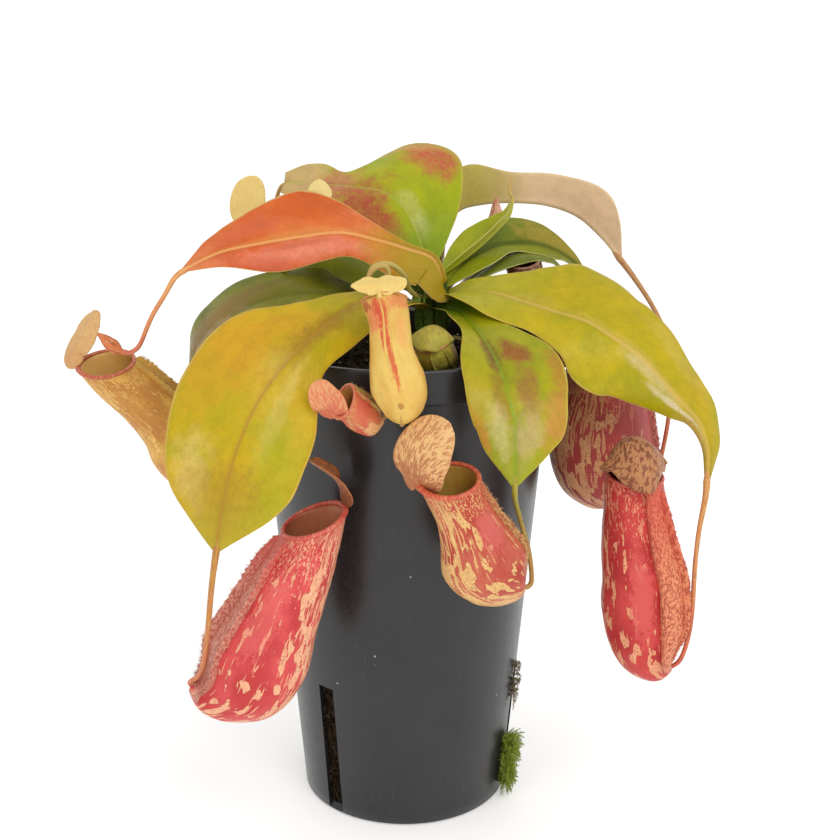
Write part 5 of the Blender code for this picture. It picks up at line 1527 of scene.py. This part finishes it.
def pot_ring(radius, height):
    """A ring of the pot, with points at both sides of each slot."""
    half = slot_half_angle(radius)
    middles = [math.radians(angle - 90) for angle in sorted(SLOT_ANGLES)]
    angles = []
    for middle, following in zip(middles, [*middles[1:], middles[0] + math.tau]):
        angles += [*np.linspace(middle - half, middle + half, SLOT_COLUMNS, endpoint=False)]
        angles += [*np.linspace(middle + half, following - half, WALL_COLUMNS, endpoint=False)]
    return np.array([radius * level(angle) + (0, 0, height) for angle in angles])


def pot_rows():
    """Each ring's radius and height, from the middle of the base up the outside, over the rim and
    down the inside to the middle of the floor, and the first ring of a slot outside and inside."""
    shoulder = POT_HEIGHT - COLLAR_HEIGHT
    inner_foot = POT_FLOOR + FLOOR_FILLET
    base = POT_BASE_RADIUS - POT_WALL
    slope = (POT_BODY_RADIUS - POT_BASE_RADIUS) / (shoulder - inner_foot)
    lip = COLLAR_RADIUS - RIM_WIDTH
    rows = [(0.5, 0.0), (30.0, 0.0), (POT_BASE_RADIUS - FOOT_BEVEL - 0.5, 0.0),
            (POT_BASE_RADIUS - FOOT_BEVEL, 0.15), (POT_BASE_RADIUS - 0.35, 0.65)]
    outer_first = len(rows)
    outer = [*np.linspace(SLOT_FOOT, SLOT_HEIGHT, SLOT_ROWS),
             *np.linspace(SLOT_HEIGHT, shoulder - 0.7, 18)[1:]]
    rows += [(pot_radius(height), height) for height in outer]
    rows += [(POT_BODY_RADIUS, shoulder - 0.45), (POT_BODY_RADIUS + 0.1, shoulder - 0.2),
             (COLLAR_RADIUS - 0.5, shoulder - 0.15), (COLLAR_RADIUS - 0.12, shoulder + 0.08),
             (COLLAR_RADIUS, shoulder + 0.5)]
    rows += [(COLLAR_RADIUS, height) for height in np.linspace(shoulder + 3, POT_HEIGHT - 3, 3)]
    rows += [(COLLAR_RADIUS, POT_HEIGHT - 0.9), (COLLAR_RADIUS - 0.12, POT_HEIGHT - 0.4),
             (COLLAR_RADIUS - 0.4, POT_HEIGHT - 0.1), (COLLAR_RADIUS - 0.9, POT_HEIGHT),
             (lip + 0.6, POT_HEIGHT), (lip + 0.15, POT_HEIGHT - 0.2), (lip, POT_HEIGHT - 0.7)]
    inner = [*np.linspace(shoulder, SLOT_HEIGHT, 10)[:-1],
             *np.linspace(SLOT_HEIGHT, inner_foot, SLOT_ROWS)]
    rows += [(base + slope * (height - inner_foot), height) for height in inner]
    inner_first = len(rows) - SLOT_ROWS
    rows += [(base - FLOOR_FILLET, POT_FLOOR), (0.5, POT_FLOOR)]
    return rows, outer_first, inner_first


def wall_faces(rows, columns, starts):
    """The walls, left open where the slots cut through them."""
    cut = [row for first in starts for row in range(first, first + SLOT_ROWS - 1)]
    for n, face in enumerate(grid_faces(rows, columns, wrap=True)):
        row, column = divmod(n, columns)
        if row not in cut or column % (SLOT_COLUMNS + WALL_COLUMNS) >= SLOT_COLUMNS:
            yield face


def slot_faces(columns, outer_first, inner_first):
    """The cut edges of the slots, from the outer wall through to the inner one."""
    inner_last = inner_first + SLOT_ROWS - 1
    for left in range(0, columns, SLOT_COLUMNS + WALL_COLUMNS):
        right = left + SLOT_COLUMNS
        outline = [(row, left) for row in range(SLOT_ROWS)]
        outline += [(SLOT_ROWS - 1, column) for column in range(left + 1, right + 1)]
        outline += [(row, right) for row in range(SLOT_ROWS - 2, -1, -1)]
        outline += [(0, column) for column in range(right - 1, left, -1)]
        for (row, column), (other, beside) in zip(outline, outline[1:] + outline[:1]):
            yield ((outer_first + row) * columns + column, (outer_first + other) * columns + beside,
                   (inner_last - other) * columns + beside, (inner_last - row) * columns + column)


def add_pot():
    rows, outer_first, inner_first = pot_rows()
    points = np.array([pot_ring(radius, height) for radius, height in rows])
    columns = points.shape[1]
    faces = [*wall_faces(len(rows), columns, (outer_first, inner_first)),
             *slot_faces(columns, outer_first, inner_first), *end_faces(len(rows), columns)]
    turn = np.arctan2(points[..., 1], points[..., 0])
    shape = Shape()
    shape.add(points, fields(points, points[..., 2] / POT_HEIGHT, turn / math.pi), points, faces)
    pot = shape.make("pot", [pot_material()])
    crisp = pot.modifiers.new("Crisp edges", "EDGE_SPLIT")
    crisp.split_angle = math.radians(35)


def pot_material():
    g = Graph("pot", specular=0.5)
    span = g.field("span")
    u, _, _ = g.parts(g.field("place"))
    drift = g.noise(span, 0.03, detail=3)
    colour = g.over((0.012, 0.012, 0.013), (0.018, 0.017, 0.018), drift, 0.3, 0.7)
    # Lighter vertical streaks: scuffs on the plastic, with a painted vertical sheen in them
    scuff_and_sheen = g.noise(span, (0.5, 0.5, 0.04), detail=4, rough=0.7)
    colour = g.over(colour, (0.060, 0.055, 0.052), scuff_and_sheen, 0.60, 0.75, 0.5)
    dust = g.noise(span, 1.1, detail=4, rough=0.75)
    colour = g.over(colour, (0.13, 0.11, 0.09), dust, 0.68, 0.74, 0.55)
    colour = g.over(colour, (0.006, 0.005, 0.0045), u, 0.925, 0.935, 0.35)
    dots = g.smooth(g.dots(span, 0.085), 0.030, 0.045, 1.0, 0.0)
    some = g.smooth(g.noise(span, 0.05, detail=1), 0.50, 0.53)
    colour = g.mix(g.times(g.times(dots, some), 0.8), colour, (0.50, 0.49, 0.46))
    grain = g.noise(span, 2.5, detail=3)
    height = g.add(g.times(grain, 0.5), g.times(scuff_and_sheen, 0.5))
    gloss = g.add(g.smooth(drift, 0.3, 0.7, 0.26, 0.34), g.smooth(dust, 0.5, 0.75, 0.0, 0.2))
    return g.finish(colour, g.bump(height, 0.10, 0.0003), gloss)


# ---------------------------------------------------------------- soil

def soil_grid():
    """Rings over the lumpy top of the soil and down its sides to the middle of its base."""
    inset = POT_WALL + SOIL_GAP
    low = POT_FLOOR + SOIL_GAP
    edge_height = SOIL_TOP - SOIL_FALL
    edge_radius = pot_radius(edge_height) - inset
    slope = SOIL_SHOULDER_RADIUS - SOIL_FLAT_RADIUS
    rows = [(radius, SOIL_TOP - max(0, (radius - SOIL_FLAT_RADIUS) / slope))
            for radius in np.linspace(0.5, SOIL_SHOULDER_RADIUS, 40)]
    rows += [((SOIL_SHOULDER_RADIUS + edge_radius) / 2, SOIL_TOP - 2.3), (edge_radius, edge_height)]
    top = slice(0, len(rows) - 1)
    side_first = len(rows)
    above_slots = SLOT_HEIGHT + 6
    heights = [*np.linspace(edge_height, above_slots, 16)[1:],
               *np.linspace(above_slots, low + 2, 44)[1:]]
    rows += [(pot_radius(height) - inset, height) for height in heights]
    side = slice(side_first, len(rows))
    rows += [(pot_radius(0) - inset - 2, low), (0.5, low)]
    radius, height = np.array(rows).T[..., None]
    _, ways = circle(SOIL_COLUMNS)
    points = radius[..., None] * ways
    points[..., 2] = height
    rough = sum(depth * wander(points, size, seed) for depth, size, seed in SOIL_LUMPS)
    points[top, :, 2] += rough[top] * np.clip((SOIL_LUMPS_END - radius[top]) / SOIL_LUMPS_FADE, 0, 1)
    points[side] += np.clip(rough[side] * 0.55, -1.2, 0.55)[..., None] * ways
    return points


def add_crumb(shape, centre, size, rng, slot, squash=1.0):
    """A small angular crumb."""
    reach = np.array([size * rng.uniform(0.6, 1.15) for _ in CRUMB_WAYS])
    points = centre + reach[:, None] * CRUMB_WAYS * (1, 1, squash)
    shape.add(points, (0.5, 0.5, 0), points * 3, CRUMB_FACES, slot)


def slot_place(rng, angle, low, high, depths, wide):
    """A random place in the mouth of a slot, and its compass angle in radians."""
    height = rng.uniform(low, high)
    reach = pot_radius(height) - rng.uniform(*depths)
    heading = math.radians(angle - 90) + rng.uniform(-wide, wide) * slot_half_angle(reach)
    return reach * level(heading) + (0, 0, height), heading


def add_rootlet(shape, rng, angle):
    """A short wavy root in a slot, left out where it would reach past the slot's ends."""
    spot, heading = slot_place(rng, angle, SLOT_FOOT + 5, SLOT_HEIGHT - 4, (0.9, 1.7), 0.7)
    across = level(heading + math.pi / 2)
    run = unit(across * rng.uniform(-0.6, 0.6) + np.array([0, 0, rng.uniform(-1, 1)]))
    length = rng.uniform(2.5, 7.0)
    wave = [spot + run * length * (t - 0.5) + across * 0.5 * math.sin(4 * t + length)
            for t in (0, 0.33, 0.66, 1)]
    if all(SLOT_FOOT + 2 < point[2] < SLOT_HEIGHT - 1 for point in wave):
        add_tube(shape, smooth_path(wave, 9), rng.uniform(0.12, 0.25), 5, FIBRE)


def add_soil(rng):
    points = soil_grid()
    shape = Shape()
    shape.add(points, (0.5, 0.5, 0), points, closed_faces(*points.shape[:2]), MIX)
    for _ in range(TOP_CRUMBS):
        reach, heading = SOIL_SHOULDER_RADIUS * math.sqrt(rng.random()), rng.uniform(0, math.tau)
        spot = reach * level(heading) + (0, 0, SOIL_TOP + rng.uniform(-0.4, 0.7))
        slot, share = (WHITE_BIT, 0.7) if rng.random() < WHITE_SHARE else (MIX, 1)
        add_crumb(shape, spot, rng.uniform(0.4, 1.5) * share, rng, slot, 0.7)
    for angle in SLOT_ANGLES:
        for _ in range(SLOT_CRUMBS):
            spot, _ = slot_place(rng, angle, SLOT_FOOT + 3, SLOT_HEIGHT - 1, (1.3, 2.8), 0.95)
            size = rng.uniform(0.35, 1.1)
            add_crumb(shape, spot, size, rng, FIBRE if rng.random() < FIBRE_SHARE else MIX)
        for _ in range(SLOT_ROOTLETS):
            add_rootlet(shape, rng, angle)
    shape.make("soil", [soil_material(),
                        bit_material("white_bit", (0.52, 0.49, 0.42), (0.30, 0.26, 0.20)),
                        bit_material("fibre", (0.060, 0.036, 0.020), (0.022, 0.014, 0.009))])


def soil_material():
    g = Graph("soil", roughness=0.95, specular=0.1)
    span = g.field("span")
    clump = g.noise(span, 0.25, detail=4, rough=0.65)
    grain = g.noise(span, 1.4, detail=4, rough=0.7)
    fibre = g.noise(span, (0.5, 0.5, 2.2), detail=3, warp=1.2)
    colour = g.over((0.012, 0.008, 0.005), (0.034, 0.020, 0.010), clump, 0.35, 0.65)
    colour = g.over(colour, (0.055, 0.032, 0.014), grain, 0.5, 0.65, 0.6)
    colour = g.over(colour, (0.10, 0.055, 0.022), fibre, 0.60, 0.66, 0.5)
    height = g.add(g.times(grain, 0.8), g.times(fibre, 0.5))
    return g.finish(colour, g.bump(height, 0.9, 0.0012))


def bit_material(name, main, dark):
    g = Graph(name, roughness=0.85, specular=0.15)
    grain = g.noise(g.field("span"), 0.8, detail=3)
    return g.finish(g.over(main, dark, grain, 0.35, 0.65), g.bump(grain, 0.4, 0.0005))


# ---------------------------------------------------------------- stem and crown

def add_disc_leaf(shape, centre, facing, width, length, slot):
    """A small round cupped leaf."""
    facing = unit(facing)
    across = unit(np.cross((0, 0, 1), facing))
    up = np.cross(facing, across)
    u = np.linspace(-1, 1, 13)[:, None]
    v = np.linspace(-1, 1, 13)
    side = v * np.sqrt(1 - u**2 / 2)
    rise = u * np.sqrt(1 - v**2 / 2)
    dish = 0.25 * width * (side**2 + rise**2)
    grid = (np.array(centre, float) + (width * side)[..., None] * across
            + (length * rise)[..., None] * up + dish[..., None] * facing)
    add_sheet(shape, grid + 0.3 * facing, grid - 0.3 * facing, fields(grid), grid, slot)


def add_crown(shape):
    """What shows between the leaf bases: sheaths, young leaves and a cut stalk."""
    radii = np.interp(np.linspace(0, 1, 16), [0, 0.3, 0.8, 1], [1.6, 2.6, 2.0, 1.2])
    for angle, low, high, reach in SHEATHS:
        way = level(math.radians(angle))
        foot = np.array([STEM_X, STEM_Y, low]) + way * (stem_radius(low) - 1.0)
        head = np.array([STEM_X, STEM_Y, high]) + way * reach
        bulge = (foot + head) / 2 + way * 1.5
        path = smooth_path([foot, bulge, head], len(radii))
        add_tube(shape, path, radii, 14, SHEATH, lumps=0.3, seed=angle)
    add_disc_leaf(shape, (3.8, -16, 237.2), (-0.2, -1, 0.35), 3.4, 3.0, SHEATH)
    add_disc_leaf(shape, (4.8, -18, 232.4), (0.1, -1, 0.3), 1.9, 2.2, GREEN)
    add_tube(shape, smooth_path([(9.5, -8, 236), (8.6, -15, 235), (8.0, -17.5, 231)], 14), 0.6, 10, GREEN)
    stalk = [(12.5, -6, 233), (12.2, -12, 234.4), (11.8, -16.2, 234.8)]
    add_tube(shape, smooth_path(stalk, 14), 1.1, 14, GREEN)
    ring = [(11.8 + 0.85 * math.cos(t), -16.9, 234.9 + 0.85 * math.sin(t))
            for t in np.linspace(0, math.tau, 25)]
    add_tube(shape, ring, 0.32, 8, PALE)


def add_stem():
    heights = np.linspace(SOIL_TOP - 1.5, STEM_TOP, STEM_ROWS)[:, None]
    turn, ways = circle(STEM_STEPS)
    rings = stem_radius(heights) + 0 * turn
    for i in range(SCARS):
        above = heights - SOIL_TOP - SCAR_FIRST - i * SCAR_STEP
        apart = np.angle(np.exp(1j * (turn - i * SCAR_TURN)))
        far = (above / SCAR_HEIGHT) ** 2 + (apart / SCAR_WIDTH) ** 2
        rings = rings + SCAR_RELIEF * (np.exp(-far) - np.exp(-far * 4))
    span = fields(np.zeros((*rings.shape, 3)), 5 * np.cos(turn), 5 * np.sin(turn), heights)
    rings = rings + BARK_RELIEF * wander(span, BARK_LUMP_SIZE, 4)
    points = ways * rings[..., None] + (STEM_X, STEM_Y, 0)
    points[..., 2] = heights
    place = fields(points, np.linspace(0, 1, STEM_ROWS)[:, None], turn / math.pi - 1)
    shape = Shape()
    shape.add(points, place, span, closed_faces(STEM_ROWS, STEM_STEPS), BARK)
    add_crown(shape)
    shape.make("stem", [bark_material(),
                        bit_material("crown_dark", (0.035, 0.060, 0.006), (0.07, 0.11, 0.012)),
                        bit_material("crown_green", (0.13, 0.19, 0.02), (0.20, 0.26, 0.04)),
                        bit_material("crown_pale", (0.62, 0.58, 0.30), (0.50, 0.46, 0.20))])


def bark_material():
    g = Graph("stem", roughness=0.65, specular=0.25)
    span = g.field("span")
    u, _, _ = g.parts(g.field("place"))
    cloud = g.noise(span, 0.22, detail=3)
    streak = g.noise(span, (1.2, 1.2, 0.25), detail=3)
    colour = g.over((0.055, 0.040, 0.018), (0.09, 0.10, 0.02), u, 0.3, 0.8)
    colour = g.over(colour, (0.04, 0.026, 0.012), cloud, 0.4, 0.6, 0.7)
    colour = g.over(colour, (0.14, 0.12, 0.04), streak, 0.55, 0.7, 0.6)
    return g.finish(colour, g.bump(streak, 0.5, 0.0006))


# ---------------------------------------------------------------- moss

def add_leaflet(shape, root, heading, facing, length, width, slot):
    """A tiny closed leaflet: a long thin pyramid."""
    across = unit(np.cross(heading, facing))
    up = np.cross(across, heading)
    middle = root + heading * length * 0.4
    half = across * width * 0.5
    points = np.array([root, middle - half + up * 0.05, middle + half + up * 0.05,
                       root + heading * length, middle - up * width * 0.2])
    shape.add(points, (0.5, 0.5, 0), root, LEAFLET_FACES, slot)


def add_frond(shape, path, rng, leaf_length, slot):
    """A moss shoot: a fine stem with three leaflets at each step along it."""
    count = max(8, int(path_knots(path)[-1] / FROND_STEP))
    fine = smooth_path(path, count)
    add_tube(shape, fine[::2] if count > 12 else fine, FROND_RADIUS, 4, slot)
    heading = unit(np.gradient(fine, axis=0))
    first, second = frames_along(fine)
    for i in range(1, count):
        size = leaf_length * (0.55 + 0.6 * math.sin(math.pi * min(i / count + 0.12, 1.0)))
        for k in range(3):
            turn = i * 2.2 + k * math.tau / 3 + rng.uniform(-0.3, 0.3)
            out = math.cos(turn) * first[i] + math.sin(turn) * second[i]
            way = unit(out * rng.uniform(0.7, 1.0) + heading[i] * rng.uniform(0.5, 0.9))
            length = size * rng.uniform(0.75, 1.2)
            add_leaflet(shape, fine[i], way, heading[i] + 0.1, length, size * 0.3, slot)
    add_leaflet(shape, fine[-1], heading[-1], first[-1], leaf_length, leaf_length * 0.3, slot)


def add_moss(name, moss, rng):
    """Shoots that leave the slot and hang over the wall, inside the ball that the CAD gives."""
    count, leaf_length, *looks = MOSS_LOOKS[name]
    centre, size = np.array(moss["centre"], float), np.array(moss["size"], float)
    outward = unit(centre * (1, 1, 0))
    across = np.array([-outward[1], outward[0], 0.0])
    shape = Shape()
    for _ in range(count):
        height = max(centre[2] + size[2] * rng.uniform(-0.75, 0.8), SLOT_FOOT + 3)
        start = outward * (pot_radius(height) - 0.8) + across * rng.uniform(-0.8, 0.8) * SLOT_WIDTH / 2
        start[2] = height
        spread = rng.uniform(-1, 1)
        reach = rng.uniform(0.35, 1.1)
        goal = (outward * (pot_radius(height) + size[0] * 0.75 * reach)
                + across * spread * size[1] * 1.05)
        goal[2] = max(height + size[2] * rng.uniform(-0.65, 0.45), MOSS_LOWEST)
        goal[2] = min(goal[2], centre[2] + size[2] * 0.95)
        bulge = (start + goal) / 2 + outward * 1.8 * reach + np.array([0, 0, 1.5])
        add_frond(shape, np.array([start, bulge, goal]), rng, leaf_length, int(rng.random() >= 0.7))
    shape.make(name, [bit_material(*look) for look in looks])


# ---------------------------------------------------------------- studio

def add_light(name, place, aim, size, power):
    data = bpy.data.lights.new(name, "AREA")
    data.shape = "RECTANGLE"
    data.size, data.size_y = size
    data.energy = power
    light = bpy.data.objects.new(name, data)
    bpy.context.scene.collection.objects.link(light)
    light.location = place
    light.rotation_euler = (Vector(aim) - Vector(place)).to_track_quat("-Z", "Y").to_euler()


def add_floor():
    mesh = bpy.data.meshes.new("floor")
    corners = [(x * FLOOR_REACH, y * FLOOR_REACH, 0) for x, y in ((-1, -1), (1, -1), (1, 1), (-1, 1))]
    mesh.from_pydata(corners, [], [(0, 1, 2, 3)])
    ground = bpy.data.objects.new("floor", mesh)
    bpy.context.scene.collection.objects.link(ground)
    g = Graph("floor", roughness=0.6, specular=0.2)
    cloud = g.noise(g.nodes.new("ShaderNodeNewGeometry").outputs["Position"], 8.0, detail=2)
    g.shader.inputs["Emission Color"].default_value = (1.0, 1.0, 1.0, 1.0)
    g.shader.inputs["Emission Strength"].default_value = FLOOR_GLOW
    mesh.materials.append(g.finish(g.mix(cloud, (0.93, 0.93, 0.925), (0.95, 0.95, 0.945))))


def add_camera():
    scene = bpy.context.scene
    data = bpy.data.cameras.new("view")
    data.lens = CAMERA_LENS
    data.sensor_width = CAMERA_SENSOR
    data.shift_x = CAMERA_SHIFT
    camera = bpy.data.objects.new("view", data)
    camera.location = CAMERA_PLACE
    camera.rotation_euler = (math.radians(90 - CAMERA_DOWN), 0, 0)
    scene.collection.objects.link(camera)
    scene.camera = camera


def add_studio():
    scene = bpy.context.scene
    scene.view_settings.view_transform = "Standard"
    scene.world = bpy.data.worlds.new("studio")
    scene.world.use_nodes = True
    background = scene.world.node_tree.nodes["Background"]
    background.inputs["Color"].default_value = (1.0, 0.995, 0.985, 1.0)
    background.inputs["Strength"].default_value = WORLD_STRENGTH
    add_light("key", (0.35, -1.0, 1.1), (0.0, 0.0, 0.15), (0.8, 0.6), LAMP_POWER)
    add_floor()
    add_camera()


def main():
    rng = random.Random(GROUND_SEED)
    for add, table, first_seed in ((add_leaf, LEAVES, 3), (add_pitcher, PITCHERS, 20),
                                   (add_tendril, TENDRILS, 50), (add_bud, BUDS, 80)):
        for seed, (name, part) in enumerate(table.items(), first_seed):
            add(name, part, seed)
    add_pot()
    add_soil(rng)
    add_stem()
    for name, moss in MOSS.items():
        add_moss(name, moss, rng)
    add_studio()


main()
